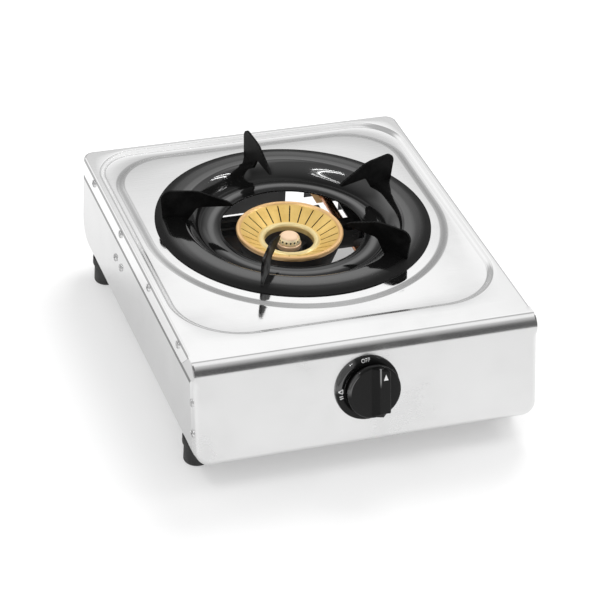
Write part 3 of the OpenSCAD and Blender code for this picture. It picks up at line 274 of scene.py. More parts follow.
def make_piece(name, grids, body, slot, stands_for, closed=True):
    """Welds grids of points into one mesh that is smooth except at its sharp edges.

    Each grid is its points and whether its rows and its columns go all the way around. The faces of a closed
    piece are turned outward; an open sheet keeps the side that its rows and columns give."""
    faces, start = [], 0
    for points, around_rows, around_columns in grids:
        faces.append(quads(*points.shape[:2], around_rows, around_columns) + start)
        start += points.shape[0] * points.shape[1]
    corners = np.concatenate([points.reshape(-1, 3) for points, _, _ in grids])
    mesh = bpy.data.meshes.new(name)
    mesh.from_pydata(corners.tolist(), [], np.concatenate(faces).tolist())
    work = bmesh.new()
    work.from_mesh(mesh)
    bmesh.ops.remove_doubles(work, verts=work.verts, dist=WELD)
    if closed:
        bmesh.ops.recalc_face_normals(work, faces=work.faces)
    work.to_mesh(mesh)
    work.free()
    mesh.shade_smooth()
    mesh.set_sharp_from_angle(angle=math.radians(SHARP))
    piece = bpy.data.objects.new(name, mesh)
    bpy.context.scene.collection.objects.link(piece)
    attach(piece, body)
    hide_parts(*stands_for)
    new_pieces.append((piece, slot))
    print(name, "faces:", len(mesh.polygons))
    return piece


def rounded(corners, steps=6):
    """A (radius, height) outline whose corners are curves; each corner gives its place and its reach.

    A curve is the quadratic one that starts and ends at the reach along the two edges, with the corner as its
    control point; no curve takes more than 0.49 of an edge."""
    p = np.array([c[:2] for c in corners], float)
    reach = np.array([c[2] if len(c) > 2 else 0.0 for c in corners])[:, None]

    def along(edge):
        """The reach along each edge, as a vector."""
        length = np.linalg.norm(edge, axis=1, keepdims=True)
        return edge / length * np.minimum(reach, 0.49 * length)

    start, end = (p + along(np.roll(p, k, 0) - p) for k in (1, -1))
    t = np.linspace(0, 1, steps)[None, :, None]
    curves = (1 - t) ** 2 * start[:, None] + 2 * t * (1 - t) * p[:, None] + t ** 2 * end[:, None]
    return curves.reshape(-1, 2)


def turned(outline, columns):
    """Radius times cosine, radius times sine, and height, for each point of an outline at each angle."""
    angle = np.linspace(0, 2 * np.pi, columns, endpoint=False)[:, None]
    return outline[:, 0] * np.cos(angle), outline[:, 0] * np.sin(angle), outline[:, 1] + 0 * angle


print("grid tools ready")

# %% [markdown]
# ## Top sheet
#
# One stainless sheet makes the top, the bend and the leaning front panel. A press draws the tray down and
# lifts the pan's seat again. Sculpting or a displaced plane could give these steps, but a signed distance
# to the plan of each one keeps its width the same all round, and half a cosine wave across it is what a
# soft press tool leaves.

# %% Plan the pressed steps
AXIS_Y, HALF_W, FRONT_Y, FLANGE_Y = 21.0, 150.0, -HALF_DEPTH, -158.0
SEAT_Z, TRAY_Z = -1.0, -2.5
SEAT_STEP, TRAY_STEP = 8.5, 6.5


def plan_distance(x, y, half, front, back, front_r, back_r):
    """Signed distance to a plan with one corner radius in front and one behind, negative inside.

    It is the larger of the distances to the plan's front and back halves, each a box with rounded corners."""
    def rounded_box(away, r):
        """Distance to a box that is open at one end, with its two corners rounded."""
        out = np.hypot(np.maximum(np.abs(x) - half + r, 0), np.maximum(away + r, 0))
        return out + np.minimum(np.maximum(np.abs(x) - half + r, away + r), 0) - r

    return np.maximum(rounded_box(front - y, front_r), rounded_box(y - back, back_r))


def tray_distance(x, y):
    """Distance to the middle of the step down into the tray."""
    return plan_distance(x, y, half=141.7, front=-136.5, back=166.5, front_r=58.0, back_r=38.0)


def seat_distance(x, y):
    """Distance to the middle of the step up to the pan's seat."""
    return plan_distance(x, y, half=131.7, front=-113.2, back=153.5, front_r=131.7, back_r=50.0)


def step(distance, width):
    """0 inside a step, 1 outside, half a cosine wave across it."""
    return (1 - np.cos(np.pi * np.clip(distance / width + 0.5, 0, 1))) / 2


def sheet_height(x, y):
    """From the seat's height to the tray's, and from there to the edge's, which is 0."""
    down, up_again = step(seat_distance(x, y), SEAT_STEP), step(tray_distance(x, y), TRAY_STEP)
    return SEAT_Z + (TRAY_Z - SEAT_Z) * down - TRAY_Z * up_again


print("heights at the axis and at the edge:", sheet_height(0.0, AXIS_Y), sheet_height(HALF_W, 0.0))

# %% [markdown]
# ## Pressed top
#
# The top is a grid of rays from the pan's axis to the fold lines. Along each ray the two steps are found
# by halving, so that the rows of points lie close in the steps and wide on the flats. Narrow rows beside
# the pan's hole and the folds keep the shading of the flats even.

# %% Press the top
FOLD_R, CORNER_R, PAN_HOLE_R = 2.0, 8.0, 113.2
HOLE_ROW, FOLD_ROW, ROWS = 0.5, 0.4, 100


def crossing(distance, level, dx, dy, far):
    """How far along each ray a distance reaches a level, by halving."""
    low, high = np.zeros_like(far), far.copy()
    for _ in range(40):
        mid = (low + high) / 2
        inside = distance(mid * dx, AXIS_Y + mid * dy) < level
        low, high = np.where(inside, mid, low), np.where(inside, high, mid)
    return high


edge_x, edge_y = HALF_W - FOLD_R, HALF_DEPTH - FOLD_R
corner_x, corner_y = edge_x - CORNER_R, edge_y - CORNER_R
side = np.linspace(FLANGE_Y, corner_y, ROWS)
corner = np.radians(np.linspace(180, 90, 14))
behind = np.linspace(-corner_x, corner_x, ROWS)
edge = np.concatenate([
    np.stack([0 * side - edge_x, side], 1),
    np.stack([-corner_x + CORNER_R * np.cos(corner), corner_y + CORNER_R * np.sin(corner)], 1)[1:],
    np.stack([behind, 0 * behind + edge_y], 1)[1:]])
edge = np.concatenate([edge, (edge * [-1, 1])[::-1][ROWS:]])
front_x = np.linspace(edge_x, -edge_x, ROWS)
loop = np.concatenate([edge, np.stack([front_x, 0 * front_x + FLANGE_Y], 1)[1:-1]])
dx, dy = loop[:, 0], loop[:, 1] - AXIS_Y
far = np.hypot(dx, dy)
dx, dy = dx / far, dy / far
steps_at = [crossing(distance, level, dx, dy, far)
            for distance, width in ((seat_distance, SEAT_STEP), (tray_distance, TRAY_STEP))
            for level in (-width / 2, width / 2)]
stops = [0 * far + PAN_HOLE_R, 0 * far + PAN_HOLE_R + HOLE_ROW, *steps_at, far - FOLD_ROW, far]
radii = np.concatenate([a + (b - a) * np.linspace(0, 1, rows)[:, None] for a, b, rows in
                        zip(stops[:-1], stops[1:], (2, 3, 18, 3, 18, 3, 2))])
x, y = radii * dx, AXIS_Y + radii * dy
top_grid = in_body(x, y, sheet_height(x, y))
print("top grid:", top_grid.shape[:2])

# %% [markdown]
# ## Flanges and front bend
#
# On three sides the sheet is folded down: a quarter circle and a straight flange, carried along the edge
# of the top. The flange runs out towards the front, where the sheet bends in a wider radius into the
# leaning panel. Both could be bevels on a box, but here the fold's section is a formula, so its radius is
# true along the whole edge.

# %% Fold the flanges
FLANGE_H, FLANGE_RUN = 18.0, 17.0
outward = np.gradient(edge, axis=0)[:, ::-1] * [-1, 1]
outward /= np.linalg.norm(outward, axis=1, keepdims=True)
outward[:ROWS - 1], outward[1 - ROWS:] = [-1, 0], [1, 0]
fold = np.radians(np.linspace(0, 90, 9))[:, None]
running_out = -FOLD_R - (FLANGE_H - FOLD_R) * (edge[:, 1] - FLANGE_Y) / FLANGE_RUN
lower = np.maximum(-FLANGE_H, running_out)
drop = np.concatenate([-FOLD_R * (1 - np.cos(fold)) + 0 * lower,
                       -FOLD_R + (lower + FOLD_R) * np.linspace(0, 1, 5)[1:, None]])
reach = FOLD_R * np.concatenate([np.sin(fold), np.ones((4, 1))])
flange_grid = in_body(edge[:, 0] + reach * outward[:, 0], edge[:, 1] + reach * outward[:, 1], drop)
print("flange grid:", flange_grid.shape[:2])

# %% Bend the front
BEND_R, KNOB_DOWN = 12.0, 39.7
bend_run = BEND_R * math.tan((math.pi / 2 - lean) / 2)
bend_y, panel_top = FRONT_Y + bend_run, KNOB_DOWN - bend_run
bend = np.linspace(0, math.pi / 2 - lean, 33)
profile_y = np.concatenate([[FLANGE_Y, bend_y + FOLD_ROW], bend_y - BEND_R * np.sin(bend)])
profile_z = np.concatenate([[0.0, 0.0], BEND_R * np.cos(bend) - BEND_R])
wide_x = np.concatenate([[HALF_W], front_x, [-HALF_W]])
bend_grid = in_body(wide_x, profile_y[:, None], profile_z[:, None])
print("bend grid:", bend_grid.shape[:2])

# %% [markdown]
# ## Front panel
#
# The panel leans back below the bend, and its sides and its foot are rolled inward. The roll's section, a
# quarter circle and a straight, is carried along the panel's outline, and it grows from nothing over the
# first millimetres below the bend. The flat face is a ring of points between that outline and the round
# hole for the valve's stem.

# %% Roll the front panel's edge
ROLL_R, ROLL_IN, ROLL_RUN, PANEL_DROP = 4.0, 14.0, 9.0, 87.0
STEM_HOLE_R, HOLE_MARGIN = 7.5, 1.06
low = KNOB_DOWN - PANEL_DROP / math.cos(lean) + ROLL_R
foot_x = HALF_W - ROLL_R - CORNER_R
quarter = np.radians(np.linspace(0, -90, 14))
foot = np.linspace(foot_x, 0, 24)[1:]
grown = step(np.linspace(-0.5, 0.5, 12), 1.0)
half = np.concatenate([
    np.stack([HALF_W - ROLL_R * grown, panel_top - np.linspace(0, ROLL_RUN, len(grown))], 1),
    np.stack([foot_x + CORNER_R * np.cos(quarter), low + CORNER_R + CORNER_R * np.sin(quarter)], 1),
    np.stack([foot, 0 * foot + low], 1)])
away = np.concatenate([np.tile([[1.0, 0.0]], (len(grown), 1)),
                       np.stack([np.cos(quarter), np.sin(quarter)], 1),
                       np.tile([[0.0, -1.0]], (len(foot), 1))])
grown = np.concatenate([grown, np.ones(len(quarter) + len(foot))])
inner = half - FOLD_ROW * away - [0, FOLD_ROW] * (np.arange(len(half)) == 0)[:, None]
path, inset_path, away = (np.concatenate([v, (v * [-1, 1])[::-1][1:]]) for v in (half, inner, away))
grown = np.concatenate([grown, grown[::-1][1:]])
lip_x = wide_x * inner[0, 0] / HALF_W
face_rim = np.concatenate([inset_path, np.stack([lip_x, 0 * lip_x + inner[0, 1]], 1)[::-1][1:-1]])
stem_hole = STEM_HOLE_R * face_rim / np.linalg.norm(face_rim, axis=1, keepdims=True)
ring = np.stack([stem_hole, stem_hole * HOLE_MARGIN, face_rim])
face_grid = on_panel(ring[..., 0], ring[..., 1], 0.0)
roll_out = ROLL_R * np.concatenate([np.sin(fold), [[1.0]]]) * grown
roll_in = np.concatenate([-ROLL_R * (1 - np.cos(fold)), [[-ROLL_IN]]]) * grown
roll_grid = on_panel(path[:, 0] + roll_out * away[:, 0], path[:, 1] + roll_out * away[:, 1], roll_in)
roll_grid[..., 2] = np.maximum(roll_grid[..., 2], top_low[2])
roll_grid = np.concatenate([on_panel(inset_path[:, 0], inset_path[:, 1], 0.0)[None], roll_grid])
lip_grid = np.stack([on_panel(wide_x, panel_top, 0.0), on_panel(lip_x, inner[0, 1], 0.0)])
print("roll grid:", roll_grid.shape[:2])

# %% [markdown]
# ## The whole sheet
#
# The grids are welded where they meet, a Solidify modifier gives the sheet its thickness, and an Edge
# Split modifier keeps its cut rims sharp. Two numbers stay on the points for the finish, one for the
# seat's step and one for the tray's: a squared sine that is 1 in the middle of the step and 0 beside it.

# %% Join the sheet
SHEET = 0.8
top_sheet = make_piece("top_sheet", [(top_grid, False, True), (flange_grid, False, False),
                                     (bend_grid, False, False), (lip_grid, False, False),
                                     (face_grid, False, True), (roll_grid, False, False)],
                       "base", "stainless", ["top_panel"], closed=False)
sheet_wall = top_sheet.modifiers.new("sheet_wall", "SOLIDIFY")
sheet_wall.thickness, sheet_wall.offset = SHEET * MM, -1.0
sharp_rims = top_sheet.modifiers.new("sharp_rims", "EDGE_SPLIT")
sharp_rims.split_angle = math.radians(SHARP)
spots = np.empty(len(top_sheet.data.vertices) * 3)
top_sheet.data.vertices.foreach_get("co", spots)
spots = (spots.reshape(-1, 3) - body_origin) / MM
on_top = spots[:, 2] > TRAY_Z - 0.5
for label, distance, width in (("seat_step", seat_distance, SEAT_STEP),
                               ("tray_step", tray_distance, TRAY_STEP)):
    across = np.clip(distance(spots[:, 0], spots[:, 1]) / width + 0.5, 0, 1)
    layer = top_sheet.data.attributes.new(label, "FLOAT", "POINT")
    layer.data.foreach_set("value", np.where(on_top, np.sin(np.pi * across) ** 2, 0.0).astype(np.float32))

# %% [markdown]
# ## Drip pan
#
# The pan is pressed from steel and enamelled. Its section goes from a flat lip over a low crown, down an
# S-shaped wall to a ring that is domed a little, and ends in a rolled bead round the opening. A Screw
# modifier could turn that section; numpy turns it here, which gives the soft, unbroken highlights of
# enamel and a closed seam.

# %% Turn the drip pan
LIP_R, CROWN_R, FLAT_R, WALL_R, RING_R = 119.8, 102.2, 98.2, 80.2, 64.9
CROWN_H, WALL_H, DOME_H = 3.2, 12.3, 1.2
BEAD_MID, BEAD_R, PAN_WALL = (64.0, -9.6), 0.9, 1.0


def pan_height(r):
    """Upper face by radius: flat lip, parabola to the crown, flat, half a cosine wave, shallow parabola."""
    crown = CROWN_H - CROWN_H * ((r - CROWN_R) / (LIP_R - CROWN_R)) ** 2
    inner_wall = CROWN_H - WALL_H * (1 + np.cos(np.pi * (r - WALL_R) / (FLAT_R - WALL_R))) / 2
    from_middle = (r - (WALL_R + RING_R) / 2) / ((WALL_R - RING_R) / 2)
    ring = CROWN_H - WALL_H + DOME_H * (1 - from_middle ** 2)
    return np.select([r > LIP_R, r > CROWN_R, r > FLAT_R, r > WALL_R],
                     [0 * r, crown, CROWN_H + 0 * r, inner_wall], ring)


pan_r = np.concatenate([np.linspace(RING_R, WALL_R, 18), np.linspace(WALL_R, FLAT_R, 34)[1:],
                        np.linspace(FLAT_R, CROWN_R, 4)[1:], np.linspace(CROWN_R, LIP_R, 30)[1:], [120.9]])
bead = np.radians(np.linspace(33.7, 326.3, 18))
pan_outline = np.concatenate([
    np.stack([pan_r, pan_height(pan_r)], 1), [[121.1, -0.1], [121.2, -0.3], [121.2, -0.7], [121.1, -0.9]],
    np.stack([pan_r, pan_height(pan_r) - PAN_WALL], 1)[::-1],
    np.stack([BEAD_MID[0] + BEAD_R * np.cos(bead), BEAD_MID[1] - BEAD_R * np.sin(bead)], 1)])
x, y, z = turned(pan_outline, 240)
make_piece("enamel_pan", [(in_body(x, AXIS_Y + y, z), True, True)], "pan", "pan_enamel", ["drip_pan"])

# %% [markdown]
# ## Brass caps
#
# The large cap is a turned ring: a round rim, a groove, a dish that falls to the middle, and a collar
# round the opening. Its flame slots are sawn, so their sides are parallel: at each radius a slot takes
# the angle whose sine is half its width over that radius. A Boolean could cut them; here the points
# inside a slot are lowered, so the slots are real grooves in one clean grid. The small cap is a cup with
# a row of drilled holes in its wall.

# %% Turn and slot the large cap
BURNER_X = -2.5
SLOTS, SLOT_W, SLOT_DEPTH, UPPER_ROWS = 24, 1.1, 2.8, 80
SLOT_OUTER, SLOT_INNER = (42.41, -11.4375), (27.89, -19.6055)
cap = rounded([(38.3, -14.1), (46.5, -14.1, 0.4), (47.5, -11.5, 1.2), (46.9, -10.0, 0.8),
               (45.9, -9.5, 0.9), (44.3, -9.7, 0.8), (43.0, -11.1, 0.5), (42.4, -11.437), (42.4, -11.438),
               (27.9, -19.605), (27.9, -19.606), (27.2, -20.0, 0.5), (26.0, -18.8, 0.8), (24.8, -18.5, 0.8),
               (22.9, -19.0, 0.7), (21.7, -20.5, 0.6), (21.7, -25.0), (24.0, -25.0), (25.0, -22.6),
               (36.1, -16.4), (36.1, -16.6), (38.3, -16.6)])
between_ends = (cap < SLOT_OUTER).all(1) & (cap > SLOT_INNER).all(1)
in_slot = between_ends & (np.arange(len(cap)) < UPPER_ROWS)
half_angle = np.arcsin(SLOT_W / 2 / cap[:, 0])[:, None]
sector = 2 * np.pi / SLOTS
share = np.linspace(0, 1, 9)[1:-1]
offsets = np.concatenate([-half_angle, -half_angle, half_angle, half_angle,
                          half_angle + (sector - 2 * half_angle) * share], 1)
lowered = np.array([0, 1, 1, 0] + [0] * len(share))
angle = (offsets[:, None] + sector * (np.arange(SLOTS)[:, None] + 0.75)).reshape(len(cap), -1)
z = cap[:, 1, None] - SLOT_DEPTH * in_slot[:, None] * np.tile(lowered, SLOTS)
cap_grid = in_body(BURNER_X + cap[:, 0, None] * np.cos(angle), AXIS_Y + cap[:, 0, None] * np.sin(angle), z)
make_piece("slotted_cap", [(cap_grid, True, True)], "large_cap", "brass", ["burner_cap"])

# %% Turn and drill the small cap
HOLES, HOLE_R, HOLE_SOFT, HOLE_DEPTH, HOLE_Z, DRILL_FROM_R = 16, 0.95, 0.25, 1.6, -19.4, 8.0
cup_wall = [(10.1 - 0.5 * t, -22.4 + 3.3 * t) for t in np.linspace(0, 1, 24)]
cup = rounded([(0, -31.0), (7.9, -31.0), (7.9, -27.0), (10.8, -27.0, 0.3), (10.8, -22.9, 0.4), *cup_wall[:-1],
               (9.6, -19.1, 0.7), (8.9, -17.7, 0.7), (7.8, -16.1, 0.6), (6.4, -15.5, 0.9), (0, -15.5)], 4)
angle = np.linspace(0, 2 * np.pi, 288, endpoint=False)[:, None]
beside = ((angle / (2 * np.pi) * HOLES) % 1 - 0.5) * 2 * np.pi / HOLES * cup[:, 0]
from_hole = np.hypot(beside, cup[:, 1] - HOLE_Z)
drilled = HOLE_DEPTH * np.clip((HOLE_R - from_hole) / HOLE_SOFT, 0, 1)
radius = cup[:, 0] - drilled * (cup[:, 0] > DRILL_FROM_R)
cup_grid = in_body(BURNER_X + radius * np.cos(angle), AXIS_Y + radius * np.sin(angle), cup[:, 1] + 0 * angle)
make_piece("drilled_cap", [(cup_grid, True, False)], "small_cap", "brass", ["inner_cap"])

# %% [markdown]
# ## Bezel and knob
#
# Both are moulded in black plastic. The bezel is a ring with a round back. The knob is a turned disc with
# a grip beside its axis. A bevelled box would look too square, so the grip is one section, steep on the
# right and leaning on the left, swept along it and closed at both ends, the upper end following the
# disc's edge and the lower one cut back.

# %% Mould the bezel
BEZEL_X, BEZEL_R, BEZEL_HALF, BEZEL_BORE_R = -2.5, 23.75, 4.25, 10.6
ARCH_Z, ARCH_H, ARCH_POWER = 1.0, 3.2, 0.7
arch = np.radians(np.linspace(0, 180, 41))
arch_line = np.stack([BEZEL_R + BEZEL_HALF * np.cos(arch), ARCH_Z + ARCH_H * np.sin(arch) ** ARCH_POWER], 1)
bezel_outline = np.concatenate([[[BEZEL_BORE_R, 0.02], [BEZEL_R + BEZEL_HALF, 0.02]], arch_line,
                                [[BEZEL_BORE_R, ARCH_Z]]])
x, y, z = turned(bezel_outline, 160)
make_piece("round_bezel", [(on_panel(BEZEL_X + x, y, z), True, True)], "base", "black_plastic", ["bezel"])

# %% Mould the knob
GRIP_R, GRIP_TOP, GRIP_H, GRIP_FOOT, FOOT_OUT = 22.6, 20.2, 8.0, -17.5, 4.2
disc = rounded([(0, 2), (5.6, 2), (5.6, 8.2), (22, 8.2, 0.3), (23.2, 9.4, 0.5), (23.2, 13.2, 2.6),
                (0, 13.2)], 9)
x, y, z = turned(disc, 160)
disc_grid = on_panel(x, y, z)
section = rounded([(-5, 12.2), (2.4, 19.5, 0.8), (3.2, GRIP_TOP, 0.8), (10.8, GRIP_TOP, 0.8),
                   (11.5, 19.5, 0.8), (12.4, 12.2)], 7)
sx, sz = section.T
ends = np.sqrt(GRIP_R ** 2 - sx ** 2)
foot_end = np.maximum(GRIP_FOOT - FOOT_OUT * (GRIP_TOP - sz) / GRIP_H, -ends)
share = np.concatenate([[0.0, 0.0, 0.01, 0.03], np.linspace(0.08, 0.92, 12), [0.97, 0.99, 1.0, 1.0]])[:, None]
size = np.concatenate([[0.0, 0.9, 0.975, 1.0], np.ones(12), [1.0, 0.975, 0.9, 0.0]])[:, None]
grip_grid = on_panel(sx.mean() + (sx - sx.mean()) * size, foot_end + (ends - foot_end) * share,
                     sz.mean() + (sz - sz.mean()) * size)
make_piece("moulded_knob", [(disc_grid, True, False), (grip_grid, False, True)], "knob", "black_plastic",
           ["knob"])

# %% [markdown]
# ## Marks on the bezel
#
# The dial is printed in white on the bezel's round back: the word for the closed valve at the top, and a
# triangle with two bars for the burning range on the left. A Shrinkwrap modifier could press them on;
# here the marks are drawn flat and laid on the ring by a formula: the width becomes an angle, and the
# height above the panel follows the ring's arch.

# %% Print the marks
MARK_R, MARK_UP, MARK_ROWS, STROKE_HALF = 25.0, 0.1, 9, 0.4


def on_ring(along, radius, middle):
    """Lays flat points on the bezel: millimetres along turn round the ring from a middle angle in degrees."""
    angle = np.radians(middle) - along / MARK_R
    arch_sin = np.sqrt(1 - np.clip((radius - BEZEL_R) / BEZEL_HALF, -1, 1) ** 2)
    return on_panel(BEZEL_X + radius * np.cos(angle), radius * np.sin(angle),
                    ARCH_Z + MARK_UP + ARCH_H * arch_sin ** ARCH_POWER)


word = bpy.data.curves.new("off_word", "FONT")
word.body, word.size, word.align_x = "OFF", 4.3, "CENTER"
holder = bpy.data.objects.new("off_word", word)
bpy.context.scene.collection.objects.link(holder)
letters = bpy.data.meshes.new_from_object(holder.evaluated_get(bpy.context.evaluated_depsgraph_get()))
flat = np.empty(len(letters.vertices) * 3)
letters.vertices.foreach_get("co", flat)
flat = flat.reshape(-1, 3)
letter_faces = [list(face.vertices) for face in letters.polygons]
bpy.data.objects.remove(holder)
bpy.data.meshes.remove(letters)
strokes = np.array([[[-2.2, 22.6], [2.2, 22.6]], [[2.2, 22.6], [0, 26.2]], [[0, 26.2], [-2.2, 22.6]],
                    [[-4.4, 22.4], [-4.4, 25.6]], [[-6.4, 22.4], [-6.4, 25.6]]])
share = np.linspace(0, 1, MARK_ROWS)[None, :, None]
spine = strokes[:, :1] + (strokes[:, 1:] - strokes[:, :1]) * share
aside = (strokes[:, 1] - strokes[:, 0])[:, ::-1] * [-1, 1]
aside = STROKE_HALF * aside / np.linalg.norm(aside, axis=1, keepdims=True)
signs = np.stack([spine - aside[:, None], spine + aside[:, None]], 2).reshape(-1, 2)
sign_faces = np.concatenate([quads(MARK_ROWS, 2, False, False) + 2 * MARK_ROWS * i
                             for i in range(len(strokes))]).tolist()
print_mesh = bpy.data.meshes.new("dial_marks")
print_mesh.from_pydata(np.concatenate([on_ring(flat[:, 0], 24.4 + flat[:, 1], 95.0),
                                       on_ring(signs[:, 0], signs[:, 1], 178.0)]).tolist(), [],
                       letter_faces + [[i + len(flat) for i in face] for face in sign_faces])
dial_marks = bpy.data.objects.new("dial_marks", print_mesh)
bpy.context.scene.collection.objects.link(dial_marks)
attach(dial_marks, "base")
new_pieces.append((dial_marks, "white_mark"))
print("marks:", len(print_mesh.polygons))

# %% [markdown]
# ## Feet and screws
#
# The feet are moulded rubber with a round shoulder under the body. The screws are pan-head ones with a
# cross recess: the head is a height over a disc, domed by the fourth power of the radius and pressed in
# where either arm of the cross lies. This needs no Boolean, and each screw is turned by its own angle, as
# a fitter leaves them.

# %% Mould the feet
FOOT_X, STAND = 136.7, 112.0
foot_outline = rounded([(5, 0), (11, 0, 2.0), (11, 17.4, 0.2), (12.5, 17.6, 2.4), (12.5, 25, 0.4), (2.1, 25),
                        (2.1, 7), (5, 7)], 8)
x, y, z = turned(foot_outline, 64)
for end, foot_y in (("front", -149.5), ("back", 133.0)):
    for hand, foot_x in (("left", -FOOT_X), ("right", FOOT_X)):
        foot_name = f"foot_{end}_{hand}"
        make_piece("rubber_" + foot_name, [(in_body(foot_x + x, foot_y + y, z - STAND), True, True)], "base",
                   "rubber", [foot_name])

# %% Form the screws
DOMED, ARM_HALF, ARM_SOFT, ARM_REACH, CROSS_DEPTH, SPIN = 17, 0.55, 0.2, 2.5, 0.9, 2.4
dome = np.linspace(0, 3.2, DOMED)
rho = np.concatenate([dome, [3.4, 3.5, 3.5, 1.4, 1.4, 0.0]])
base_z = np.concatenate([1.7 - 0.85 * (dome / 3.4) ** 4, [0.85, 0.6, 0.0, 0.0, -7.0, -7.0]])
phi = np.linspace(0, 2 * np.pi, 48, endpoint=False)[:, None]
arms = [np.clip((ARM_HALF - np.abs(rho * wave(phi))) / ARM_SOFT, 0, 1) for wave in (np.cos, np.sin)]
cross = np.minimum(np.maximum(*arms), rho < ARM_REACH)
head_z = base_z - CROSS_DEPTH * cross * (np.arange(len(rho)) < DOMED)


def screws(places, normal, first, second):
    """Copies of the screw at places, its axis along a normal and its cross turned from one to the next."""
    grids = []
    for i, place in enumerate(places):
        spin = phi + SPIN * i
        spot = place + MM * (rho * np.cos(spin))[..., None] * first
        spot = spot + MM * (rho * np.sin(spin))[..., None] * second
        grids.append((spot + MM * head_z[..., None] * normal, True, False))
    return grids


X, Y, Z = np.eye(3)
flange_y, flange_z = np.array([-130.5, -43.5, 43.5, 130.5]), -6.5
front_up, front_in = KNOB_DOWN - np.array([34, 61.5]), -9.0
bar_x, bar_y, bar_z = 149.2, np.array([43.2, 60.2]), -41.0
back_x, back_y, back_z = 139.2, 174.2, np.array([-34.8, -56.55])
make_piece("flange_screw_heads", screws(in_body(-HALF_W, flange_y, flange_z), -X, Y, Z)
           + screws(in_body(HALF_W, flange_y, flange_z), X, Y, Z), "base", "screw_steel", ["flange_screws"])
make_piece("front_screw_heads", screws(on_panel(-HALF_W, front_up, front_in), -X, Y, Z)
           + screws(on_panel(HALF_W, front_up, front_in), X, Y, Z), "base", "screw_steel", ["front_screws"])
make_piece("bar_screw_heads", screws(in_body(-bar_x, bar_y, bar_z), -X, Y, Z)
           + screws(in_body(bar_x, bar_y, bar_z), X, Y, Z), "base", "screw_steel", ["bar_screws"])
make_piece("back_screw_heads", screws(in_body(-back_x, back_y, back_z), Y, X, Z)
           + screws(in_body(back_x, back_y, back_z), Y, X, Z), "base", "screw_steel", ["back_screws"])

# %% [markdown]
# ## Return spring
#
# Behind the panel a small spring pushes the knob out again. A solid spring would stay stiff when the knob
# goes in; this one is a wire along a helix, measured on the imported solid, with a mesh of its own. How far
# the knob would press it is printed.

# %% Wind the return spring
TURNS, PUSH = 5, 3.5 * MM
wire = np.empty(len(nodes["valve_spring"].data.vertices) * 3)
nodes["valve_spring"].data.vertices.foreach_get("co", wire)
wire = wire.reshape(-1, 3) - knob_at
depth = wire @ panel_out
from_middle = np.linalg.norm(wire - depth[:, None] * panel_out, axis=1)
wire_r, coil_r = np.ptp(from_middle) / 2, (from_middle.max() + from_middle.min()) / 2
theta = np.linspace(0, 2 * np.pi * TURNS, 40 * TURNS)[:, None]
theta = np.concatenate([theta[:1], theta, theta[-1:]])
thick = np.r_[0.0, np.full(len(theta) - 2, wire_r), 0.0][:, None]
around = np.linspace(0, 2 * np.pi, 12, endpoint=False)
rise = depth.min() + wire_r + (np.ptp(depth) - 2 * wire_r) * theta / theta[-1]
radius, rise = coil_r + thick * np.cos(around), rise + thick * np.sin(around)
coil = on_panel(radius * np.cos(theta) / MM, radius * np.sin(theta) / MM, rise / MM)
spring = make_piece("return_spring", [(coil, False, True)], "base", "zinc_steel", ["valve_spring"])
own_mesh(spring)
print("spring:", np.round(np.ptp(depth) / MM, 2), "mm long, pressed by", PUSH / MM)

# %% [markdown]
# ## Studio
#
# The photograph is a bright one: white floor, white background and broad soft light. The floor is a large
# white sheet: to the camera and in mirror images it is partly a light of its own, so that it stays white,
# and the rest is plain white that keeps the soft shadow. The world is white to the camera. In mirror
# images it is a pale room with a few bright panels, and with one dark flag in front, which draws the dark
# band along the front bend.

# %% Lay the floor
FLOOR_REACH, FLOOR_GLOW = 6.0, 0.38


def plane(name, size):
    """A square sheet on the ground that reaches this far from the middle each way."""
    mesh = bpy.data.meshes.new(name)
    mesh.from_pydata([(-size, -size, 0), (size, -size, 0), (size, size, 0), (-size, size, 0)], [],
                     [(0, 1, 2, 3)])
    sheet = bpy.data.objects.new(name, mesh)
    bpy.context.scene.collection.objects.link(sheet)
    return sheet


def seen_white(n):
    """1 for rays from the camera, in mirrors and through glass, 0 for the light that falls on things."""
    outs = n.add("ShaderNodeLightPath").socket.node.outputs
    kinds = ("Is Camera Ray", "Is Glossy Ray", "Is Transmission Ray")
    direct, glossy, through = (Value(n, outs[kind]) for kind in kinds)
    return direct + glossy + through


floor_white = bpy.data.materials.new("floor_white")
floor_white.use_nodes = True
n = Nodes(floor_white.node_tree)
paper = n.add("ShaderNodeBsdfDiffuse", {}, {"Color": grey(0.94)})
glow = n.add("ShaderNodeEmission", {}, {"Color": grey(1.0), "Strength": 1.0})
n.add("ShaderNodeOutputMaterial", {}, {"Surface": n.add("ShaderNodeMixShader", {}, {
    0: seen_white(n) * FLOOR_GLOW, 1: paper, 2: glow})})
plane("floor", FLOOR_REACH).data.materials.append(floor_white)
print("floor laid")

# %% Light the studio
world = bpy.data.worlds.new("studio")
bpy.context.scene.world = world
world.use_nodes = True
n = Nodes(world.node_tree)
looking = n.add("ShaderNodeTexCoord", output="Generated")


def panel_light(towards, core, end):
    """1 within the core angle of a direction, 0 beyond the end angle, in degrees, by the angle's cosine."""
    towards = np.array(towards) / np.linalg.norm(towards)
    return n.ramp(n.along(looking, towards), math.cos(math.radians(end)), math.cos(math.radians(core)))


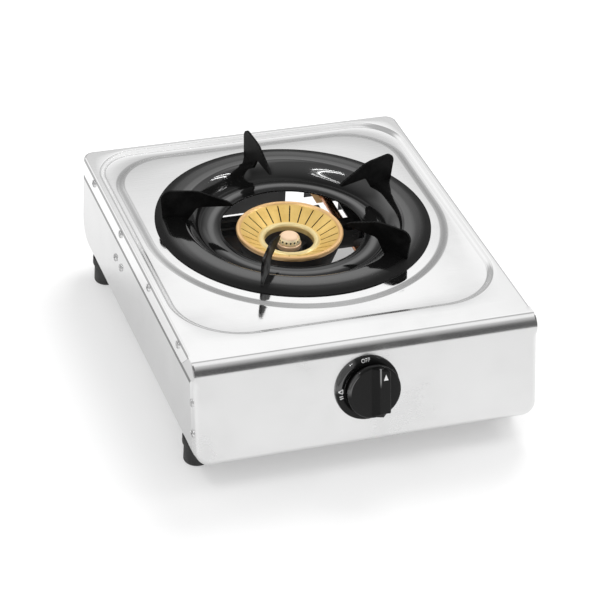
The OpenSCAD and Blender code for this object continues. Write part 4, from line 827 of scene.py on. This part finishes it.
across, away, height = n.parts(looking)
flag = n.band(across, 0.2955, 0.12, 0.08) * n.ramp(-away, -0.1, 0.1)
room = n.mix(flag, grey(0.50), n.mix(n.ramp(height, 0.62, 1.0), grey(0.03), grey(0.60)))
for towards, core, end, level in (((0.10, 0.62, 0.78), 24, 50, 0.42), ((0.62, 0.78, 0.0), 12, 40, 0.50),
                                  ((0.28, 0.72, 0.64), 5, 13, 1.0), ((-0.45, 0.72, 0.52), 9, 22, 1.0),
                                  ((-0.06, 0.78, 0.62), 5, 12, 0.9), ((0.29, 0.16, 0.94), 8, 22, 0.95),
                                  ((-0.98, -0.07, 0.18), 7, 14, 1.0)):
    room = n.mix(panel_light(towards, core, end), room, grey(level))
mirrored = n.add("ShaderNodeBackground", {}, {"Color": room, "Strength": 1.12})
falling = n.add("ShaderNodeBackground", {}, {"Color": grey(1.0), "Strength": 0.8})
white_wall = n.add("ShaderNodeBackground", {}, {"Color": grey(1.0), "Strength": 1.0})
outs = n.add("ShaderNodeLightPath").socket.node.outputs
lit = n.add("ShaderNodeMixShader", {}, {0: Value(n, outs["Is Glossy Ray"]), 1: falling, 2: mirrored})
n.add("ShaderNodeOutputWorld", {}, {"Surface": n.add("ShaderNodeMixShader", {}, {
    0: Value(n, outs["Is Camera Ray"]), 1: lit, 2: white_wall})})


def soft_lamp(name, at, aim, size, power, mirrored):
    """A lamp of this width and height that looks from one place at another, mirrored in metal or not."""
    data = bpy.data.lights.new(name, "AREA")
    data.shape, data.size, data.size_y, data.energy = "RECTANGLE", *size, power
    lamp = bpy.data.objects.new(name, data)
    bpy.context.scene.collection.objects.link(lamp)
    z = np.array(at, float) - np.array(aim, float)
    z /= np.linalg.norm(z)
    x = np.cross([0, 0, 1.0], z)
    x /= np.linalg.norm(x)
    m = np.eye(4)
    m[:3, 0], m[:3, 1], m[:3, 2], m[:3, 3] = x, np.cross(z, x), z, at
    lamp.matrix_world = Matrix(m.tolist())
    lamp.visible_glossy = mirrored


STRIP_AWAY, STRIP_TIER, STRIP_SIZE, STRIP_POWER = 1.8, 0.14, (0.8, 0.03), 2.0
middle = (0.0, 0.0, 0.08)
soft_lamp("key", (0.9, 1.5, 2.2), middle, (1.1, 1.1), 42, False)
for name, towards in (("strip_right", (0.72, -0.12, 0.66)), ("strip_left", (-0.51, -0.18, 0.84))):
    for tier in (0, 1):
        lifted = np.array(towards) + [0, 0, STRIP_TIER * tier]
        lamp_at = middle + STRIP_AWAY * lifted / np.linalg.norm(lifted)
        soft_lamp(f"{name}_{tier}", lamp_at, middle, STRIP_SIZE, STRIP_POWER, True)
print("studio ready")

# %% [markdown]
# ## Stainless sheet
#
# Each of the record's material slots gets one finish, made from formulas over the piece's own
# coordinates, so that nothing slides when a part moves. Stainless sheet keeps the fine lines of the
# rolling mill and the smears of handling. The pressed steps scatter the light more than the flats. Shade
# is painted into the seat's step and as a thin dark line along the folds at the sides, and the front panel
# is given a darker grey than the top as painted shade. The side panels have a look of their own: their
# lines run from front to back, their grey is darker than the top's as painted shade, and a painted shadow
# lies as a dark band below the top sheet's flange.

# %% Finish the stainless sheet
def paint_stainless(n):
    """Stretched noise for the rolling lines, broad noise for the smears, rougher metal in the steps, and painted
    shade in the seat's step, along the side folds and on the front panel.
    """
    vector = n.place()
    x, y, z = n.parts(vector)
    rolled = n.noise(n.stretched(vector, (30.0, 900.0, 900.0)), 1.0, 2.0)
    handled = n.noise(vector, 16.0, 4.0, 0.6)
    seat, tray = n.attribute("seat_step"), n.attribute("tray_step")
    left = n.ramp(-x, -0.02, 0.08)
    right = n.ramp(x, 0.10, 0.125) * n.ramp(y, body_origin[1] - 0.12, body_origin[1] - 0.09)
    front = n.ramp(-y, 165 * MM - body_origin[1], 176 * MM - body_origin[1])
    # painted shade: the front panel gets a darker grey than the top
    bright = n.mix(front, n.mix(handled, grey(0.88), grey(0.82)), n.mix(handled, grey(0.76), grey(0.68)))
    # painted shade: a thin dark line along the side folds
    fold = n.ramp(abs(x), 148.6 * MM, 149.1 * MM) * n.band(z, body_origin[2] - 2.2 * MM, 0.9 * MM, 0.6 * MM)
    rough = 0.05 + rolled * 0.05 + n.ramp(handled, 0.45, 0.75) * 0.06 + seat * 0.25
    # painted shade in the seat's step and along the folds
    return {"Base Color": n.mix(seat * 0.4 + fold * 0.8, bright, grey(0.10)),
            "Roughness": rough + tray * (0.4 - right * 0.34) + front * 0.16,
            "Metallic": 1.0 - tray * left * 0.55, "Normal": n.bump(rolled, 0.02, 0.0005)}


def paint_side(n):
    """The same metal in a darker grey as painted shade, with its lines along y, and a painted shadow as a band
    just below the top sheet's flange.
    """
    vector = n.place()
    _, _, z = n.parts(vector)
    rolled = n.noise(n.stretched(vector, (900.0, 30.0, 900.0)), 1.0, 2.0)
    handled = n.noise(vector, 16.0, 4.0, 0.6)
    # painted shadow: a dark band just below the top sheet's flange
    flange_shadow = n.band(z, 0.0906, 0.0018, 0.0007)
    # the side panel's darker grey than the top's is painted shade
    return {"Base Color": n.mix(flange_shadow * 0.9, n.mix(handled, grey(0.70), grey(0.58)), grey(0.02)),
            "Roughness": 0.07 + rolled * 0.06 + n.ramp(handled, 0.45, 0.75) * 0.08,
            "Normal": n.bump(rolled, 0.02, 0.0005)}


stainless = finish("stainless_sheet", {}, paint_stainless)
shaded_side_sheet = finish("stainless_side", {"Metallic": 1.0}, paint_side)
print("sheet finishes:", stainless.name, shaded_side_sheet.name)

# %% [markdown]
# ## Zinc plate and screws
#
# The inner sheets are zinc plated and have gone dull in clouds. The screws are brighter and paler still
# on their edges, and the hollow of the cross is painted dark as shade. How pointed the surface is tells
# the edges from the hollow, so nothing has to be painted by hand.

# %% Finish the zinc and the screws
def paint_zinc(n):
    """Dark metal whose colour and roughness follow one cloud."""
    cloud = n.noise(n.place(), 30.0, 4.0, 0.6)
    return {"Base Color": n.mix(cloud, grey(0.05), grey(0.11)),
            "Roughness": 0.30 + cloud * 0.18, "Normal": n.bump(cloud, 0.08, 0.0004)}


def paint_screw(n):
    """Cloudy metal that is paler on pointed edges, with painted shade in the recess of the cross."""
    cloud = n.noise(n.place(), 260.0, 3.0, 0.6)
    # paler on pointed edges; painted shade in the recess of the cross
    pale_edge, hollow_shade = n.pointed_edges(0.5, 0.56), 1.0 - n.pointed_edges(0.40, 0.48)
    metal = n.mix(pale_edge, n.mix(cloud, grey(0.24), grey(0.40)), grey(0.80))
    return {"Base Color": n.mix(hollow_shade, metal, grey(0.02)),
            "Roughness": 0.18 + cloud * 0.2, "Normal": n.bump(cloud, 0.1, 0.0002)}


zinc = finish("zinc_plate", {"Metallic": 1.0}, paint_zinc)
screw = finish("screw_bright", {"Metallic": 1.0}, paint_screw)
print("small steel finishes:", zinc.name, screw.name)

# %% [markdown]
# ## Rubber, plastic and the white marks
#
# The feet are matt rubber with dust in their grain. The knob is glossy black plastic, with painted shade
# down the grip's flank, a painted highlight along the grip's upper crest, and a rubbed, shinier patch where
# a thumb turns the disc. They are placed by how far a point stands out of the panel and up it.

# %% Finish the rubber, the plastic and the marks
def paint_rubber(n):
    """Fine grain as a bump, and dust that makes the black paler."""
    vector = n.place()
    grain = n.noise(vector, 1400.0, 3.0, 0.6)
    dust = n.noise(vector, 60.0, 4.0, 0.65)
    return {"Base Color": n.mix(n.ramp(dust, 0.45, 0.7), grey(0.022), grey(0.05)),
            "Roughness": 0.55 + dust * 0.25, "Normal": n.bump(grain, 0.25, 0.0003)}


def paint_plastic(n):
    """Mould grain and touch marks; painted shade down the grip's side, a painted highlight along its upper edge
    and the shinier patch are products of ramps.
    """
    vector = n.place()
    x, _, _ = n.parts(vector)
    grain = n.noise(vector, 900.0, 3.0, 0.5)
    touched = n.noise(vector, 70.0, 4.0, 0.6)
    standing = n.along(vector, panel_out) - float(knob_at @ panel_out)
    rising = n.along(vector, panel_up) - float(knob_at @ panel_up)
    # painted shade down the grip's leaning flank
    flank_shade = n.ramp(standing, 13.4 * MM, 14.2 * MM) * n.ramp(-x, -2.6 * MM, -1.6 * MM)
    upper = n.ramp(rising, 5 * MM, 13 * MM)
    outer = n.ramp((x * x + rising * rising) ** 0.5, 20.4 * MM, 21.0 * MM)
    sheen_patch = n.ramp(-x, 12 * MM, 16 * MM) * n.ramp(rising, -2 * MM, 4 * MM) * outer
    # painted highlight along the grip's upper crest
    crest_highlight = n.ramp(standing, 17.6 * MM, 19.2 * MM) * n.band(x, 2.7 * MM, 0.35 * MM, 0.4 * MM) * upper
    body = n.mix(touched, grey(0.006), grey(0.012))
    return {"Base Color": n.mix(crest_highlight * 0.8, n.mix(flank_shade, body, grey(0.002)), grey(0.30)),
            "Coat Weight": sheen_patch, "Roughness": 0.12 + n.ramp(touched, 0.4, 0.7) * 0.12,
            "Normal": n.bump(grain, 0.05, 0.0002)}


def paint_mark(n):
    """White ink with the grain of the print."""
    print_grain = n.noise(n.place(), 1600.0, 3.0, 0.6)
    return {"Base Color": n.mix(print_grain, grey(0.72), grey(0.95)), "Roughness": 0.4 + print_grain * 0.2}


rubber = finish("foot_rubber", {}, paint_rubber)
plastic = finish("knob_plastic", {"Specular IOR Level": 0.16, "Coat IOR": 1.9, "Coat Roughness": 0.08},
                 paint_plastic)
mark = finish("mark_white", {}, paint_mark)
print("moulded finishes:", rubber.name, plastic.name, mark.name)

# %% [markdown]
# ## Enamel
#
# Fired enamel is black glass on steel, with a faint orange peel. Wiping has polished the pan's crown and
# its inner ring, so a clear coat lies there in bands round the axis, and the outer rim is duller. The pot
# supports are matt with soot, and grey patches are painted on the front one as a reflection.

# %% Finish the pan and the supports
def from_axis(x, y, axis_x):
    """Distance from an upright axis on the pan's middle line: the root of the two squares."""
    along, across = x - axis_x, y - (body_origin[1] + AXIS_Y * MM)
    return (along * along + across * across) ** 0.5


def paint_enamel(n):
    """Black with smears; the coat's bands and the rim's roughness go by the distance from the axis."""
    vector = n.place()
    x, y, _ = n.parts(vector)
    peel = n.noise(vector, 180.0, 2.0, 0.5)
    smear = n.noise(vector, 22.0, 4.0, 0.6)
    radius = from_axis(x, y, 0.0)
    polished = n.band(radius, 0.0995, 0.006, 0.012) + n.band(radius, 0.0725, 0.002, 0.006)
    return {"Base Color": n.mix(smear, grey(0.003), grey(0.007)),
            "Coat Weight": polished * (0.9 - smear * 0.2),
            "Roughness": 0.10 + n.ramp(smear, 0.4, 0.75) * 0.08 + n.ramp(radius, 0.109, 0.115) * 0.5,
            "Normal": n.bump(peel, 0.004, 0.0006)}


def paint_support(n):
    """Sooty black, with a painted reflection in grey where the soot's cloud is high on the front support."""
    vector = n.place()
    x, y, _ = n.parts(vector)
    peel = n.noise(vector, 420.0, 3.0, 0.6)
    soot = n.noise(vector, 45.0, 4.0, 0.65)
    in_front = n.ramp(-y, 45 * MM - body_origin[1], 60 * MM - body_origin[1])
    # painted reflection: grey patches on the front support where the soot's cloud is high
    sheen_patch = in_front * n.ramp(soot, 0.42, 0.62) * n.ramp(-x, -40 * MM, -30 * MM)
    black = n.mix(n.ramp(soot, 0.4, 0.7), grey(0.003), grey(0.009))
    return {"Base Color": n.mix(sheen_patch, black, grey(0.10)),
            "Roughness": 0.34 + peel * 0.15 + soot * 0.15, "Normal": n.bump(peel, 0.1, 0.0002)}


enamel = finish("pan_enamel", {"IOR": 1.3, "Coat IOR": 1.9, "Coat Roughness": 0.06}, paint_enamel)
support = finish("support_black", {"Specular IOR Level": 0.06}, paint_support)
print("enamel finishes:", enamel.name, support.name)

# %% [markdown]
# ## Brass
#
# The caps are turned brass: fine lathe rings, tarnish in clouds, and other tints on the rim, the collar
# and the small cap. The slots and holes are painted dark inside as shade, and a band of the small cap's
# wall round its holes is painted pale as a highlight. An image could hold all this; here it goes by the
# distance from the burner's axis and the height above the dish's outer edge, so it follows the form.

# %% Finish the brass
def paint_brass(n):
    """Tints in bands by radius and depth, painted shade in the slots and holes and a painted highlight round the
    holes; a point is in a slot where it lies below the dish's slope.
    """
    # painted shade for the inside of slots and holes, and a painted highlight for the small cap's wall
    hole_shade, wall_highlight = (0.012, 0.008, 0.004, 1.0), (0.95, 0.86, 0.62, 1.0)
    vector = n.place()
    x, y, z = n.parts(vector)
    radius = from_axis(x, y, BURNER_X * MM)
    deep = z - float(body_origin[2]) + 11.1 * MM
    below_dish = n.ramp((radius - 43 * MM) * 0.5633 - deep, 0.35 * MM, 0.7 * MM)
    in_slot = below_dish * n.band(radius, 35.1 * MM, 7.0 * MM, 0.3 * MM)
    in_hole = n.band(deep, -8.3 * MM, 1.0 * MM, 0.1 * MM) * n.ramp(-radius, -9.4 * MM, -9.1 * MM)
    in_cup = n.ramp(-radius, -0.0150, -0.0120)
    lathe = n.noise(n.add("ShaderNodeCombineXYZ", {}, {0: radius * 2600.0, 1: z * 2600.0}), 1.0, 2.0)
    tarnish = n.noise(vector, 55.0, 4.0, 0.65)
    gold = n.mix(n.ramp(tarnish, 0.35, 0.7), (0.86, 0.60, 0.20, 1.0), (0.74, 0.49, 0.14, 1.0))
    peach = n.mix(n.ramp(radius, 0.0425, 0.0440), gold, (0.82, 0.52, 0.24, 1.0))
    collar = n.mix(n.band(radius, 24.4 * MM, 2.4 * MM, 0.6 * MM), peach, (0.80, 0.66, 0.34, 1.0))
    cup = n.mix(in_cup, collar, (0.90, 0.66, 0.46, 1.0))
    # painted highlight: a pale band on the small cap's wall round its holes
    cup = n.mix(n.band(deep, -8.2 * MM, 2.0 * MM, 0.6 * MM) * in_cup, cup, wall_highlight)
    # painted shade inside the slots and holes
    return {"Base Color": n.mix(in_slot + in_hole, cup, hole_shade),
            "Roughness": 0.24 + lathe * 0.12 + tarnish * 0.1, "Normal": n.bump(lathe, 0.05, 0.0002)}


brass = finish("cap_brass", {"Metallic": 0.5}, paint_brass)
print("brass finish:", brass.name)

# %% [markdown]
# ## Copper and castings
#
# The gas pipe is drawn copper that has gone brown in places, with lines along its length. The burner is
# cast iron with sand grain and a trace of rust, and the valve's body is a pale cast alloy. They show only
# through the pan's opening or when a piece is lifted, so one or two noises are enough for each.

# %% Finish the copper and the castings
def paint_copper(n):
    """Stretched noise for the drawing lines, and broad noise for the tarnish."""
    vector = n.place()
    drawn = n.noise(n.stretched(vector, (500.0, 40.0, 500.0)), 1.0, 3.0)
    tarnish = n.noise(vector, 40.0, 4.0, 0.6)
    return {"Base Color": n.mix(tarnish, (0.72, 0.36, 0.21, 1.0), (0.45, 0.20, 0.10, 1.0)),
            "Roughness": 0.18 + drawn * 0.15, "Normal": n.bump(drawn, 0.08, 0.0003)}


def paint_iron(n):
    """Sand grain as a strong bump, and rust where a broad cloud is high."""
    vector = n.place()
    sand = n.noise(vector, 700.0, 4.0, 0.7)
    rust = n.noise(vector, 35.0, 4.0, 0.65)
    return {"Base Color": n.mix(n.ramp(rust, 0.5, 0.75), grey(0.020), (0.05, 0.028, 0.018, 1.0)),
            "Roughness": 0.6 + sand * 0.25, "Normal": n.bump(sand, 0.5, 0.0006)}


def paint_alloy(n):
    """Pale metal whose colour, roughness and bump follow one grain."""
    sand = n.noise(n.place(), 500.0, 3.0, 0.6)
    return {"Base Color": n.mix(sand, grey(0.36), grey(0.52)), "Roughness": 0.38 + sand * 0.2,
            "Normal": n.bump(sand, 0.2, 0.0004)}


copper = finish("pipe_copper", {"Metallic": 1.0}, paint_copper)
iron = finish("burner_iron", {}, paint_iron)
alloy = finish("valve_alloy", {"Metallic": 1.0}, paint_alloy)
print("inner finishes:", copper.name, iron.name, alloy.name)

# %% [markdown]
# ## Finish by slot
#
# The record gives every solid a slot; a new surface carries the slot of the solid it stands for. The two
# side panels share the stainless slot but get a finish of their own: a darker grey as painted shade, and
# a painted shadow under the top sheet's flange.

# %% Give every piece its finish
by_slot = {"stainless": stainless, "zinc_steel": zinc, "screw_steel": screw, "rubber": rubber,
           "support_enamel": support, "pan_enamel": enamel, "brass": brass, "cast_iron": iron,
           "cast_alloy": alloy, "copper": copper, "black_plastic": plastic, "white_mark": mark}
by_node = {"side_panel_left": shaded_side_sheet, "side_panel_right": shaded_side_sheet}
for part in frame["record"]["subparts"]:
    node = nodes[part["node"]]
    node.data.materials.clear()
    node.data.materials.append(by_node.get(part["node"], by_slot[part["material_slot"]]))
for piece, slot in new_pieces:
    piece.data.materials.append(by_slot[slot])
print("finishes:", len(by_slot) + 1, "new pieces:", len(new_pieces))

# %% [markdown]
# ## View
#
# The looks don't change the object's size. The Standard view keeps each colour about as it is written.

# %% Close the scene
bpy.context.scene.view_settings.view_transform = "Standard"
